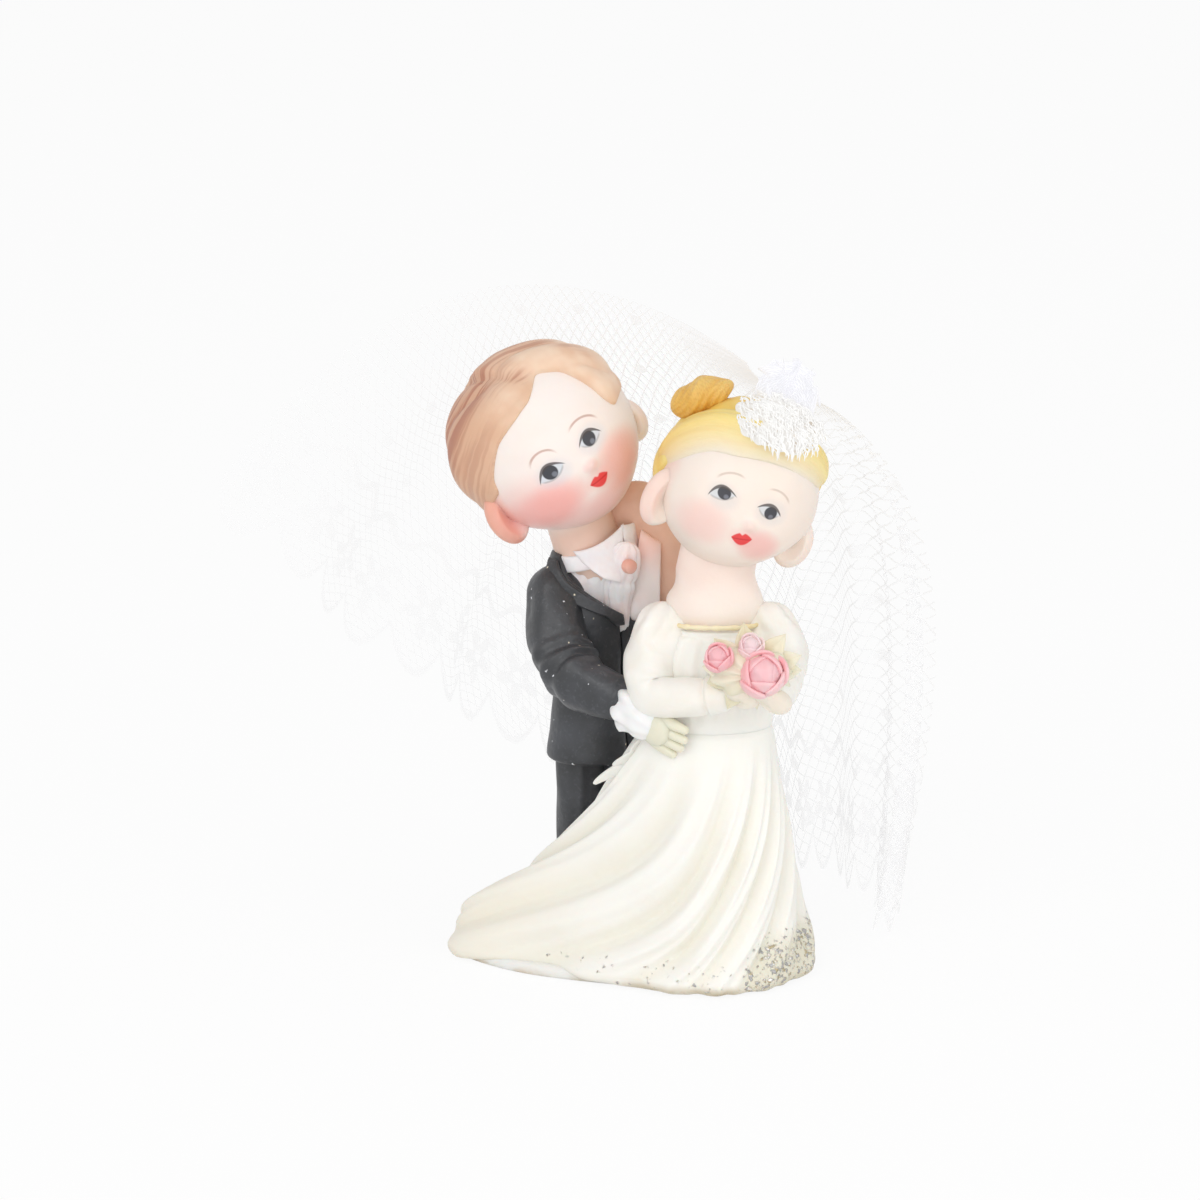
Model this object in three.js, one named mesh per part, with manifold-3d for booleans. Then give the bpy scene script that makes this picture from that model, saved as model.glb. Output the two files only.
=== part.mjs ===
// Wedding cake topper: a small bride and groom in painted cast resin, with a lace veil glued to her crown.
// Millimetres, +Z up. The origin is on the flat underside, the couple looks along -Y, and the bride stands
// on the +X side, in front of the groom. "Right" and "left" in names are the figure's own.
import * as THREE from 'three';
import { mergeVertices } from 'three/addons/utils/BufferGeometryUtils.js';
import Module from 'manifold-3d';

const wasm = await Module();
wasm.setup();

// Fits: the glue gap between pieces, and the slightly smaller gap that a later piece is trimmed to
const seatGap = 0.3;
const trimGap = 0.25;

// Base
const baseThickness = 1.2;
const baseInset = 0.3;
const groomPadHalfWidth = 9.5;
const groomPadHalfDepth = 7.5;

// Bride: where she stands, and her gown from the base up
const brideX = 8.0;
const brideY = -4.8;
const gownHeight = 24.3;
const waistHalfWidth = 6.2;
const waistHalfDepth = 4.3;
const hemHalfWidth = 10.2;
const hemHalfDepth = 10.7;
const trainLength = 16.6;
const trainHeight = 9.8;
const foldCount = 12;
const foldDepth = 1.5;
const foldTwist = 80;
const hemNotch = 1.5;
const hemFlip = 0.7;
const frillRadius = 0.95;

// Bride: bodice, bust and neck
const bodiceHeight = 11.4;
const bustHalfWidth = 6.5;
const bustHalfDepth = 4.6;
const shoulderHalfWidth = 4.7;
const brideNeckRadius = 3.0;
const brideNeckLength = 3.6;
const necklineDip = 0.9;
const necklineSideDip = 1.5;
const trimRadius = 0.3;

// Bride: arms and bouquet
const brideSleeveRadius = 2.7;
const brideElbowRadius = 2.2;
const brideWristRadius = 1.55;
const brideHandRadius = 1.7;
const bouquetReach = 3.7;
const bouquetOffset = 3.6;
const bouquetHalfWidth = 4.4;
const bouquetHalfHeight = 3.0;
const roseRadius = 2.3;

// Bride: head and hair
const brideHeadRadius = 8.4;
const brideHeadLean = 12.5;
const brideHeadTipBack = 6.5;
const brideHeadYaw = 5;
const brideHeadPitch = -4;
const brideHeadRoll = -24;
const brideSlimShare = 0.14;
const brideRightEarRadius = 2.9;
const brideLeftEarRadius = 2.2;
const brideHairThickness = 0.9;
const fringeRadius = 1.5;
const bunRadius = 2.45;

// Groom: where he stands, and his clothes from the base up
const groomX = -2.6;
const groomY = 8.0;
const groomTurn = 34;
const groomLean = 2.0;
const legHeight = 18.4;
const legRadius = 2.5;
const legSpacing = 4.9;
const shoeLength = 7.0;
const shoeHeight = 2.6;
const jacketOverlap = 1.2;
const jacketHeight = 22.4;
const jacketHemHalfWidth = 6.0;
const jacketHemHalfDepth = 4.7;
const jacketWaistHalfWidth = 5.2;
const chestHalfWidth = 6.0;
const chestHalfDepth = 4.5;
const collarRadius = 4.4;
const collarHeight = 2.2;
const collarTilt = 1.1;
const clothThickness = 0.9;
const lapelOpening = 92;
const leftLapelOpening = 120;
const lapelWidth = 2.4;
const lapelThickness = 0.7;
const shirtSwell = 1.2;
const tieWidth = 2.6;
const tieLength = 7.0;
const studRadius = 0.75;

// Groom: arms
const groomSleeveRadius = 3.0;
const groomElbowRadius = 2.9;
const groomWristRadius = 2.0;
const cuffLength = 1.5;
const cuffRadius = 2.25;
const groomHandRadius = 1.9;

// Groom: head and hair
const groomHeadRadius = 9.2;
const groomNeckRadius = 3.2;
const groomNeckLength = 3.3;
const groomHeadLean = 23.5;
const groomHeadTipFront = 5;
const groomHeadYaw = 24;
const groomHeadPitch = 2;
const groomHeadRoll = 37;
const groomJawShare = 0.13;
const groomEarRadius = 2.45;
const groomHairThickness = 0.75;
const quiffRise = 0.7;
const sideLockRise = 0.6;
const partingDepth = 0.5;

// Veil: a fan of lace gathered on the crown, with its left corner lifted over the groom's head
const veilThickness = 0.4;
const veilReachLeft = 60;
const veilReachBack = 22;
const veilReachRight = 11;
const veilSwell = 6;
const veilHemLift = 42;
const veilHeadroom = 4.55;
const veilBow = 24;
const veilFloorGap = 0.4;
const veilPleats = 9;
const veilPleatDepth = 1.5;
const gatherRadius = 2.5;
const rosetteRadius = 4.2;

// Shared helpers
const { lerp, degToRad, smoothstep, clamp } = THREE.MathUtils;
const vec = (x, y, z) => new THREE.Vector3(x, y, z);
const upward = vec(0, 0, 1);
const fullTurn = 2 * Math.PI;
const halfTurn = Math.PI;
const quarterTurn = Math.PI / 2;

// A closed body from points and triangles, turned right side out
function closedBody(points, index) {
  let volume = 0;
  for (let i = 0; i < index.length; i += 3) {
    const [a, b, c] = [points[index[i]], points[index[i + 1]], points[index[i + 2]]];
    volume += a.dot(b.clone().cross(c));
  }
  if (volume < 0) {
    for (let i = 0; i < index.length; i += 3) [index[i + 1], index[i + 2]] = [index[i + 2], index[i + 1]];
  }
  const geometry = new THREE.BufferGeometry().setFromPoints(points);
  geometry.setIndex(index);
  return geometry;
}

// Lofts rings of points: section(t, angle) gives a point, t runs from 0 to 1 and both ends are capped
function loft(section, sides, rings) {
  const points = [];
  const index = [];
  for (let i = 0; i <= rings; i += 1) {
    for (let j = 0; j < sides; j += 1) points.push(section(i / rings, (j / sides) * fullTurn));
  }
  const at = (i, j) => i * sides + (j % sides);
  for (let i = 0; i < rings; i += 1) {
    for (let j = 0; j < sides; j += 1) {
      index.push(at(i, j), at(i, j + 1), at(i + 1, j + 1), at(i, j), at(i + 1, j + 1), at(i + 1, j));
    }
  }
  for (const i of [0, rings]) {
    const centre = vec(0, 0, 0);
    for (let j = 0; j < sides; j += 1) centre.addScaledVector(points[at(i, j)], 1 / sides);
    const hub = points.push(centre) - 1;
    for (let j = 0; j < sides; j += 1) {
      if (i === 0) index.push(hub, at(i, j + 1), at(i, j));
      else index.push(hub, at(i, j), at(i, j + 1));
    }
  }
  return closedBody(points, index);
}

// A limb: a round-ended tube along a smooth path, with a radius at each of the path's points.
// flat squeezes it along the direction that lies nearest to side.
function limb(path, radii, { sides = 10, rings = 8, side = upward, flat = 1 } = {}) {
  const capRings = 2;
  const tip = 0.06;
  const curve = new THREE.CatmullRomCurve3(path, false, 'centripetal');
  const radiusCurve = new THREE.CatmullRomCurve3(radii.map((r, i) => vec(r, i, 0)));
  const cap = Array.from({ length: capRings }, (_, k) => (k / capRings) * quarterTurn);
  const stations = [
    ...cap.map((a) => ({ s: 0, along: -Math.cos(a), share: Math.sin(a) })),
    ...Array.from({ length: rings + 1 }, (_, i) => ({ s: i / rings, along: 0, share: 1 })),
    ...cap.reverse().map((a) => ({ s: 1, along: Math.cos(a), share: Math.sin(a) })),
  ];
  const last = stations.length - 1;
  return loft((t, angle) => {
    const { s, along, share } = stations[Math.round(t * last)];
    const radius = radiusCurve.getPoint(s).x;
    const tangent = curve.getTangent(s);
    const across = side.clone().addScaledVector(tangent, -side.dot(tangent)).normalize();
    const over = tangent.clone().cross(across);
    const r = radius * Math.max(share, tip);
    return curve.getPoint(s)
      .addScaledVector(tangent, along * radius)
      .addScaledVector(across, r * flat * Math.cos(angle))
      .addScaledVector(over, r * Math.sin(angle));
  }, sides, last);
}

// A ball whose unit-sphere points are warped and then set in a frame
function ball(frame, warp, across, down) {
  const geometry = weld(new THREE.SphereGeometry(1, across, down));
  const { position } = geometry.attributes;
  for (let i = 0; i < position.count; i += 1) {
    const p = warp(vec(0, 0, 0).fromBufferAttribute(position, i)).applyMatrix4(frame);
    position.setXYZ(i, p.x, p.y, p.z);
  }
  return geometry;
}

// A thin sheet: surface(u, v) gives its middle, and its thickness lies along its normals
function sheet(surface, across, along, thickness) {
  const step = 1e-3;
  const points = [];
  const index = [];
  for (const face of [0.5, -0.5]) {
    for (let i = 0; i <= across; i += 1) {
      for (let j = 0; j <= along; j += 1) {
        const [u, v] = [i / across, j / along];
        const du = surface(Math.min(u + step, 1), v).sub(surface(Math.max(u - step, 0), v));
        const dv = surface(u, Math.min(v + step, 1)).sub(surface(u, Math.max(v - step, 0)));
        points.push(surface(u, v).addScaledVector(du.cross(dv).normalize(), face * thickness));
      }
    }
  }
  const layer = (across + 1) * (along + 1);
  const at = (face, i, j) => face * layer + i * (along + 1) + j;
  const quad = (a, b, c, d) => index.push(a, b, c, a, c, d);
  for (let i = 0; i < across; i += 1) {
    for (let j = 0; j < along; j += 1) {
      quad(at(0, i, j), at(0, i + 1, j), at(0, i + 1, j + 1), at(0, i, j + 1));
      quad(at(1, i, j), at(1, i, j + 1), at(1, i + 1, j + 1), at(1, i + 1, j));
    }
    quad(at(0, i, 0), at(1, i, 0), at(1, i + 1, 0), at(0, i + 1, 0));
    quad(at(0, i + 1, along), at(1, i + 1, along), at(1, i, along), at(0, i, along));
  }
  for (let j = 0; j < along; j += 1) {
    quad(at(0, 0, j + 1), at(1, 0, j + 1), at(1, 0, j), at(0, 0, j));
    quad(at(0, across, j), at(1, across, j), at(1, across, j + 1), at(0, across, j + 1));
  }
  return closedBody(points, index);
}

// A band that closes on itself: an oval bar along a closed path, with a half thickness and a half height
function ring(path, halfThickness, halfHeight, sides, steps) {
  const curve = new THREE.CatmullRomCurve3(path, true);
  const points = [];
  const index = [];
  for (let i = 0; i < steps; i += 1) {
    const tangent = curve.getTangent(i / steps);
    const out = tangent.clone().cross(upward).normalize();
    const over = out.clone().cross(tangent);
    for (let j = 0; j < sides; j += 1) {
      const angle = (j / sides) * fullTurn;
      points.push(curve.getPoint(i / steps)
        .addScaledVector(out, halfThickness * Math.cos(angle))
        .addScaledVector(over, halfHeight * Math.sin(angle)));
    }
  }
  const at = (i, j) => (i % steps) * sides + (j % sides);
  for (let i = 0; i < steps; i += 1) {
    for (let j = 0; j < sides; j += 1) {
      index.push(at(i, j), at(i + 1, j), at(i + 1, j + 1), at(i, j), at(i + 1, j + 1), at(i, j + 1));
    }
  }
  return closedBody(points, index);
}

function weld(geometry) {
  geometry.deleteAttribute('normal');
  geometry.deleteAttribute('uv');
  return mergeVertices(geometry, 1e-4);
}

function toSolid(geometry) {
  const welded = weld(geometry.clone());
  return new wasm.Manifold(new wasm.Mesh({
    numProp: 3,
    vertProperties: welded.attributes.position.array,
    triVerts: new Uint32Array(welded.index.array),
  }));
}

function toGeometry(solid) {
  const mesh = solid.getMesh();
  const geometry = new THREE.BufferGeometry();
  geometry.setAttribute('position', new THREE.Float32BufferAttribute(mesh.vertProperties, 3));
  geometry.setIndex(new THREE.Uint32BufferAttribute(mesh.triVerts, 1));
  return geometry;
}

// The same body with its skin moved outwards along its normals
function grow(geometry, distance) {
  const grown = weld(geometry.clone());
  grown.computeVertexNormals();
  const { position, normal } = grown.attributes;
  for (let i = 0; i < position.count; i += 1) {
    const out = vec(0, 0, 0).fromBufferAttribute(normal, i);
    const p = vec(0, 0, 0).fromBufferAttribute(position, i).addScaledVector(out, distance);
    position.setXYZ(i, p.x, p.y, p.z);
  }
  grown.deleteAttribute('normal');
  return grown;
}

const boxOf = (geometry) => new THREE.Box3().setFromBufferAttribute(geometry.attributes.position);
const largest = (solid) => solid.decompose().reduce((a, b) => (b.volume() > a.volume() ? b : a));
const join = (...bodies) => toGeometry(bodies.map(toSolid).reduce((a, b) => a.add(b)));

// A value along [share, value] stations, eased from each to the next
function profile(stations, t) {
  const next = Math.max(1, stations.findIndex(([share]) => share >= t));
  const [[a, from], [b, to]] = [stations[next - 1], stations[next]];
  return lerp(from, to, smoothstep(t, a, b));
}

// The assembly: each figure is a group that stands at its own point, and the veil hangs from its gather
const topper = new THREE.Group();
const bride = new THREE.Group();
const groom = new THREE.Group();
const veil = new THREE.Group();
bride.position.set(brideX, brideY, baseThickness);
groom.position.set(groomX, groomY, baseThickness);
topper.add(bride, groom, veil);

function add(group, name, material, geometry) {
  const mesh = new THREE.Mesh(geometry.clone().translate(...group.position.clone().negate()), material);
  mesh.name = name;
  group.add(mesh);
}

// Adds a piece, trimmed where it would press into the pieces that were fitted before it
const fitted = [];
function fit(group, name, material, body) {
  let solid = toSolid(body);
  for (const other of fitted) {
    const near = other.box.intersectsBox(boxOf(body));
    if (near && solid.intersect(other.solid).volume() > 1e-6) solid = largest(solid.subtract(other.solid));
  }
  const grown = grow(body, trimGap);
  fitted.push({ solid: toSolid(grown), box: boxOf(grown) });
  add(group, name, material, toGeometry(solid));
}

const paint = (color, roughness) => new THREE.MeshStandardMaterial({ color, roughness, metalness: 0 });
const skin = paint('#f3d9c9', 0.42);
const creamPaint = paint('#f1ece0', 0.5);
const whitePaint = paint('#f6f3f3', 0.5);
const blackPaint = paint('#2d2f32', 0.45);
const brownHair = paint('#c08a68', 0.5);
const goldHair = paint('#f0d27a', 0.48);
const goldTrim = paint('#e3c66f', 0.45);
const rosePaint = paint('#ef8f9d', 0.5);
const leafPaint = paint('#e6e4c8', 0.55);
const studPaint = paint('#d9785c', 0.45);
const laceThread = paint('#fafafc', 0.9);

// Gown outline at a height share h, 0 at the hem and 1 at the waist: an ellipse that widens downwards,
// drawn out on the groom's side into a train whose top edge sweeps up to the waist
const gownTop = baseThickness + gownHeight;
const trainHeading = vec(-1, 0.2, 0);
function gownOutline(angle, h) {
  const spread = Math.pow(1 - h, 1.05);
  const train = Math.pow(Math.max(0, -Math.cos(angle)), 3) * trainLength;
  const sweep = (1 - h ** 10) / (1 + Math.pow((h * gownHeight) / trainHeight, 2.4));
  return vec(
    brideX + lerp(waistHalfWidth, hemHalfWidth, spread) * Math.cos(angle),
    brideY + lerp(waistHalfDepth, hemHalfDepth, spread) * Math.sin(angle),
    0,
  ).addScaledVector(trainHeading, train * sweep);
}

// Folds run down from the waist and swing towards the train, with broad crests and narrow valleys.
// column is the angle at which a fold leaves the waist, and foldSwing how far round it has gone lower down.
const foldSwing = (h) => degToRad(foldTwist) * Math.pow(1 - h, 1.5);
// The phase is drawn out here and there and the depth varies, so that no two folds are alike.
function foldPhase(column) {
  return foldCount * column + 0.9 * Math.sin(2 * column + 0.6) + 0.6 * Math.sin(3 * column + 2);
}
function gownFold(column, h) {
  const crest = Math.pow(0.5 + 0.5 * Math.cos(foldPhase(column)), 0.6);
  const ease = smoothstep(1 - h, 0, 0.7) * lerp(0.35, 1, smoothstep(h, 0, 0.15));
  return foldDepth * (0.8 + 0.25 * Math.sin(2 * column + 4)) * ease * (crest - 0.7);
}

// A soft bump around an angle, 1 at its middle
function bumpAt(angle, degrees, spread) {
  const off = angle - degToRad(degrees);
  return Math.exp(-Math.pow(Math.atan2(Math.sin(off), Math.cos(off)) / degToRad(spread), 2));
}

// The hem turns up a little at the bride's left, and draws back under the start of the train
function gownPoint(column, h) {
  const angle = column - foldSwing(h);
  const p = gownOutline(angle, h);
  const out = p.clone().sub(vec(brideX, brideY, 0)).normalize();
  const low = 1 - smoothstep(h, 0, 0.22);
  const edge = hemFlip * bumpAt(angle, 350, 26) - hemNotch * bumpAt(angle, 213, 9);
  p.addScaledVector(out, gownFold(column, h) + edge * low);
  return p.setZ(baseThickness + gownHeight * h);
}
const gownSide = (degrees, h) => gownPoint(degToRad(degrees) + foldSwing(h), h);

// Base: one flat plate under the gown and under the groom's shoes
function makeBase() {
  const steps = 48;
  const gownShape = new THREE.Shape(Array.from({ length: steps }, (_, i) => {
    const p = gownOutline((i / steps) * fullTurn, 0);
    const out = p.clone().sub(vec(brideX, brideY, 0)).normalize();
    p.addScaledVector(out, -baseInset);
    return new THREE.Vector2(p.x, p.y);
  }));
  const groomShape = new THREE.Shape();
  groomShape.absellipse(groomX + 1, groomY - 2, groomPadHalfWidth, groomPadHalfDepth, 0, fullTurn);
  const flat = { depth: baseThickness, bevelEnabled: false, curveSegments: 24 };
  return join(new THREE.ExtrudeGeometry(gownShape, flat), new THREE.ExtrudeGeometry(groomShape, flat));
}
add(topper, 'base_plate', whitePaint, makeBase());
fit(bride, 'gown_skirt', creamPaint, loft((t, column) => gownPoint(column, t), 72, 10));

// A frill at the back of her waist falls over the top of the gown on the groom's side
const frillPath = [0, 0.5, 1].map((t) => {
  const degrees = lerp(196, 186, t);
  const out = vec(Math.cos(degToRad(degrees)), Math.sin(degToRad(degrees)), 0);
  return gownSide(degrees, lerp(0.94, 0.72, t)).addScaledVector(out, 0.6 * frillRadius);
});
const frillRadii = [0.7 * frillRadius, frillRadius, 0.4 * frillRadius];
const frillShape = { sides: 8, rings: 5, side: vec(0, 1, 0) };
fit(bride, 'waist_frill', whitePaint, limb(frillPath, frillRadii, frillShape));

// A head's frame: x to the right of whoever looks at the face, y to the crown, z out of the face
function headFrame(centre, yawDegrees, pitchDegrees, rollDegrees) {
  const [yaw, pitch, roll] = [yawDegrees, pitchDegrees, rollDegrees].map(degToRad);
  const forward = vec(Math.sin(yaw) * Math.cos(pitch), -Math.cos(yaw) * Math.cos(pitch), Math.sin(pitch));
  const level = vec(Math.cos(yaw), Math.sin(yaw), 0);
  const upright = forward.clone().cross(level);
  const right = level.multiplyScalar(Math.cos(roll)).addScaledVector(upright, Math.sin(roll));
  const up = forward.clone().cross(right);
  return new THREE.Matrix4().makeBasis(right, up, forward).setPosition(centre);
}

// A soft hill on the unit sphere, 1 at its middle
const hill = (p, x, y, z, spread) => Math.exp(-p.distanceToSquared(vec(x, y, z).normalize()) / spread ** 2);

// Doll's skull: full cheeks low on a round head, a small chin and a button nose.
// jaw lengthens the chin, and slim draws the left cheek in.
function skullPoint(p, radius, jaw = 0, slim = 0) {
  const cheeks = hill(p, -0.55, -0.42, 0.72, 0.42) + hill(p, 0.55, -0.42, 0.72, 0.42);
  const chin = hill(p, 0, -0.62, 0.78, 0.22);
  const nose = hill(p, 0, -0.14, 1, 0.1);
  const cut = jaw * hill(p, 0, -0.8, 0.6, 0.55) - slim * hill(p, 0.7, -0.6, 0.4, 0.45);
  const swell = 1 + 0.055 * cheeks + 0.03 * chin + 0.05 * nose + cut;
  return vec(0.99 * p.x, 0.96 * p.y, 0.95 * p.z).multiplyScalar(radius * swell);
}
const skull = (frame, radius, jaw, slim) => ball(frame, (p) => skullPoint(p, radius, jaw, slim), 18, 12);

// A cupped ear on the side of a head, at shares of the head's radius
function ear(frame, headRadius, earRadius, seat) {
  const side = Math.sign(seat.x);
  const place = new THREE.Matrix4().makeRotationY(degToRad(-28 * side));
  place.setPosition(seat.clone().multiplyScalar(headRadius));
  return ball(frame.clone().multiply(place), (p) => {
    const hollow = 1 - 0.22 * hill(p, 0.15 * side, 0, 1, 0.45);
    return vec(0.72 * p.x, 1.05 * p.y, 0.42 * p.z * hollow).multiplyScalar(earRadius);
  }, 8, 6);
}

// A hair cap: a cup over the back and top of the skull, from a pole behind the crown to a hairline.
// It is thickest in its middle and thins to its edge; lump(direction, angle) adds locks.
const hairSeat = 1.8 * seatGap;
const hairPole = new THREE.Quaternion().setFromUnitVectors(upward, vec(0, 0.62, -0.78).normalize());
function hairCap(frame, headRadius, thickness, hairline, lump) {
  const rows = 6;
  const last = 2 * rows + 1;
  return loft((t, angle) => {
    const row = Math.round(t * last);
    const outer = row > rows;
    const share = (outer ? last - row : row) / rows;
    const polar = Math.max(share, 0.03) * hairline(angle);
    const p = vec(Math.sin(polar) * Math.cos(angle), Math.sin(polar) * Math.sin(angle), Math.cos(polar));
    p.applyQuaternion(hairPole);
    const body = thickness * Math.sqrt(1.06 - share ** 2) + lump(p, angle) * (1 - share ** 8);
    return skullPoint(p, headRadius).addScaledVector(p, hairSeat + (outer ? body : 0)).applyMatrix4(frame);
  }, 24, last);
}

// Bride's bust and neck: one piece, whose foot is seated in the bodice and whose neck is seated in the head
const bodiceFoot = gownTop + seatGap;
const shoulderZ = bodiceFoot + bodiceHeight;
const shoulderLine = vec(brideX + 0.5, brideY + 0.2, shoulderZ);
const brideLean = vec(
  Math.sin(degToRad(brideHeadLean)),
  Math.sin(degToRad(brideHeadTipBack)),
  Math.cos(degToRad(brideHeadLean)),
).normalize();
const brideHeadCentre = shoulderLine.clone().addScaledVector(brideLean, brideNeckLength + brideHeadRadius);
const brideFrame = headFrame(brideHeadCentre, brideHeadYaw, brideHeadPitch, brideHeadRoll);
const bustFoot = shoulderZ - 0.35 * bodiceHeight;
const neckTop = shoulderLine.clone().addScaledVector(brideLean, brideNeckLength + 0.45 * brideHeadRadius);
function bustPoint(t, angle) {
  const neck = [[0.7, brideNeckRadius], [1, brideNeckRadius]];
  const wide = profile([[0, 0.8 * shoulderHalfWidth], [0.35, shoulderHalfWidth], ...neck], t);
  const deep = profile([[0, 0.6 * bustHalfDepth], [0.35, 0.75 * bustHalfDepth], ...neck], t);
  const z = lerp(bustFoot, neckTop.z, t);
  const rise = clamp((z - shoulderZ) / (neckTop.z - shoulderZ), 0, 1);
  const middle = shoulderLine.clone().lerp(neckTop, rise);
  return vec(middle.x + wide * Math.cos(angle), middle.y + deep * Math.sin(angle), z);
}
fit(bride, 'bride_bust', skin, loft(bustPoint, 16, 9));

// Bodice: fuller at the bust, with a neckline worn low on the shoulders
function bodicePoint(t, angle) {
  const front = Math.max(0, -Math.sin(angle));
  const [waistWide, waistDeep] = [waistHalfWidth - seatGap, waistHalfDepth - seatGap];
  const wide = profile([[0, waistWide], [0.6, bustHalfWidth], [1, shoulderHalfWidth + 0.2]], t);
  const deep = profile([[0, waistDeep], [0.62, bustHalfDepth], [1, 0.88 * bustHalfDepth]], t);
  const swell = 0.5 * Math.exp(-(((t - 0.62) / 0.22) ** 2)) * front ** 2 * Math.abs(Math.cos(angle));
  const dip = lerp(necklineDip, necklineSideDip, Math.cos(angle) ** 2) * smoothstep(t, 0.8, 1);
  return vec(
    lerp(brideX, shoulderLine.x, t) + (wide + swell) * Math.cos(angle),
    lerp(brideY, shoulderLine.y, t) + (deep + swell) * Math.sin(angle),
    lerp(bodiceFoot, shoulderZ - seatGap, t) - dip,
  );
}
fit(bride, 'bride_bodice', creamPaint, loft(bodicePoint, 20, 7));

const trimSteps = 16;
const trimPath = Array.from({ length: trimSteps }, (_, i) => {
  const p = bodicePoint(1, (i / trimSteps) * fullTurn);
  return p.setZ(p.z + trimRadius + seatGap);
});
fit(bride, 'neckline_trim', goldTrim, ring(trimPath, trimRadius, trimRadius, 6, 24));

// Bride's head, hair, rolled fringe and bun
const brideRightEarSeat = vec(-0.88, -0.4, 0.18);
const brideLeftEarSeat = vec(0.78, -0.34, 0.12);
fit(bride, 'bride_head', skin, join(
  skull(brideFrame, brideHeadRadius, 0, brideSlimShare),
  ear(brideFrame, brideHeadRadius, brideRightEarRadius, brideRightEarSeat),
  ear(brideFrame, brideHeadRadius, brideLeftEarRadius, brideLeftEarSeat),
));
fit(bride, 'bride_hair', goldHair, hairCap(
  brideFrame,
  brideHeadRadius,
  brideHairThickness,
  (angle) => degToRad(90 - 7 * Math.sin(angle)),
  (p) => 0.1 * Math.sin(9 * Math.atan2(p.x, p.y)),
));
const fringeSteps = 8;
const fringePath = Array.from({ length: fringeSteps + 1 }, (_, i) => {
  const across = lerp(-1.3, 1.3, i / fringeSteps);
  const p = vec(Math.sin(across), 0.05 + 0.76 * Math.cos(across), 0.62 * Math.cos(across)).normalize();
  return p.multiplyScalar(brideHeadRadius + 0.35 * fringeRadius).applyMatrix4(brideFrame);
});
const fringeRadii = fringePath.map((_, i) => {
  const fullness = Math.sin((i / fringeSteps) * halfTurn);
  return fringeRadius * lerp(0.7, 1, fullness);
});
const fringeShape = { sides: 7, rings: 9, side: vec(0, -1, 0) };
fit(bride, 'bride_fringe', goldHair, limb(fringePath, fringeRadii, fringeShape));
const bunOut = vec(-0.72, 0.66, -0.2).normalize();
const bunAlong = vec(0.68, 0.73, 0).addScaledVector(bunOut, -bunOut.dot(vec(0.68, 0.73, 0))).normalize();
const bunPlace = new THREE.Matrix4().makeBasis(bunAlong, bunOut, bunAlong.clone().cross(bunOut));
bunPlace.setPosition(bunOut.clone().multiplyScalar(brideHeadRadius + brideHairThickness + 0.3 * bunRadius));
fit(bride, 'bride_bun', goldHair, ball(brideFrame.clone().multiply(bunPlace), (p) => {
  const coil = 1 + 0.06 * Math.sin(2 * Math.atan2(p.z, p.y) + 6 * p.x);
  return vec(1.3 * p.x, 0.75 * p.y * coil, p.z * coil).multiplyScalar(bunRadius);
}, 12, 8));

// Bride's arms: her sleeves come forward to the hands, which hold the bouquet in front of the waist
const sides = [['right', -1], ['left', 1]];
const handsZ = bodiceFoot + 0.36 * bodiceHeight;
const bouquetCentre = vec(
  brideX + bouquetOffset,
  brideY - bustHalfDepth - bouquetReach,
  handsZ + 1.03 * bouquetHalfHeight,
);
function brideArm(side) {
  const shoulderOut = shoulderHalfWidth + 0.2 * brideSleeveRadius;
  const shoulder = shoulderLine.clone().add(vec(side * shoulderOut, -0.6, -0.75 * brideSleeveRadius));
  const elbowLift = side > 0 ? 1.2 : -0.4;
  const elbow = vec(shoulder.x + side * 1.1, brideY - 3.6, handsZ + elbowLift);
  const wrist = bouquetCentre.clone().add(vec(0.62 * side * bouquetHalfWidth, 1.9, 0)).setZ(handsZ + 0.2);
  const sleeve = [
    shoulder,
    shoulder.clone().lerp(elbow, 0.5).add(vec(side * 0.5, 0.3, 0)),
    elbow,
    elbow.clone().lerp(wrist, 0.55).add(vec(0, -0.5, -0.2)),
    wrist,
  ];
  const palm = [
    wrist.clone().lerp(elbow, -0.32),
    wrist.clone().lerp(bouquetCentre, 0.35).add(vec(-side * 0.6, -0.9, -0.3)),
  ];
  return { sleeve, palm };
}
const sleeveRadii = [
  brideSleeveRadius,
  1.05 * brideSleeveRadius,
  brideElbowRadius,
  0.9 * brideElbowRadius,
  brideWristRadius,
];
for (const [name, side] of sides) {
  fit(bride, `bride_${name}_sleeve`, creamPaint, limb(brideArm(side).sleeve, sleeveRadii));
}
for (const [name, side] of sides) {
  const palmRadii = [brideHandRadius, 0.85 * brideHandRadius];
  const hand = limb(brideArm(side).palm, palmRadii, { sides: 8, rings: 3, flat: 0.75 });
  fit(bride, `bride_${name}_hand`, creamPaint, hand);
}

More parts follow.
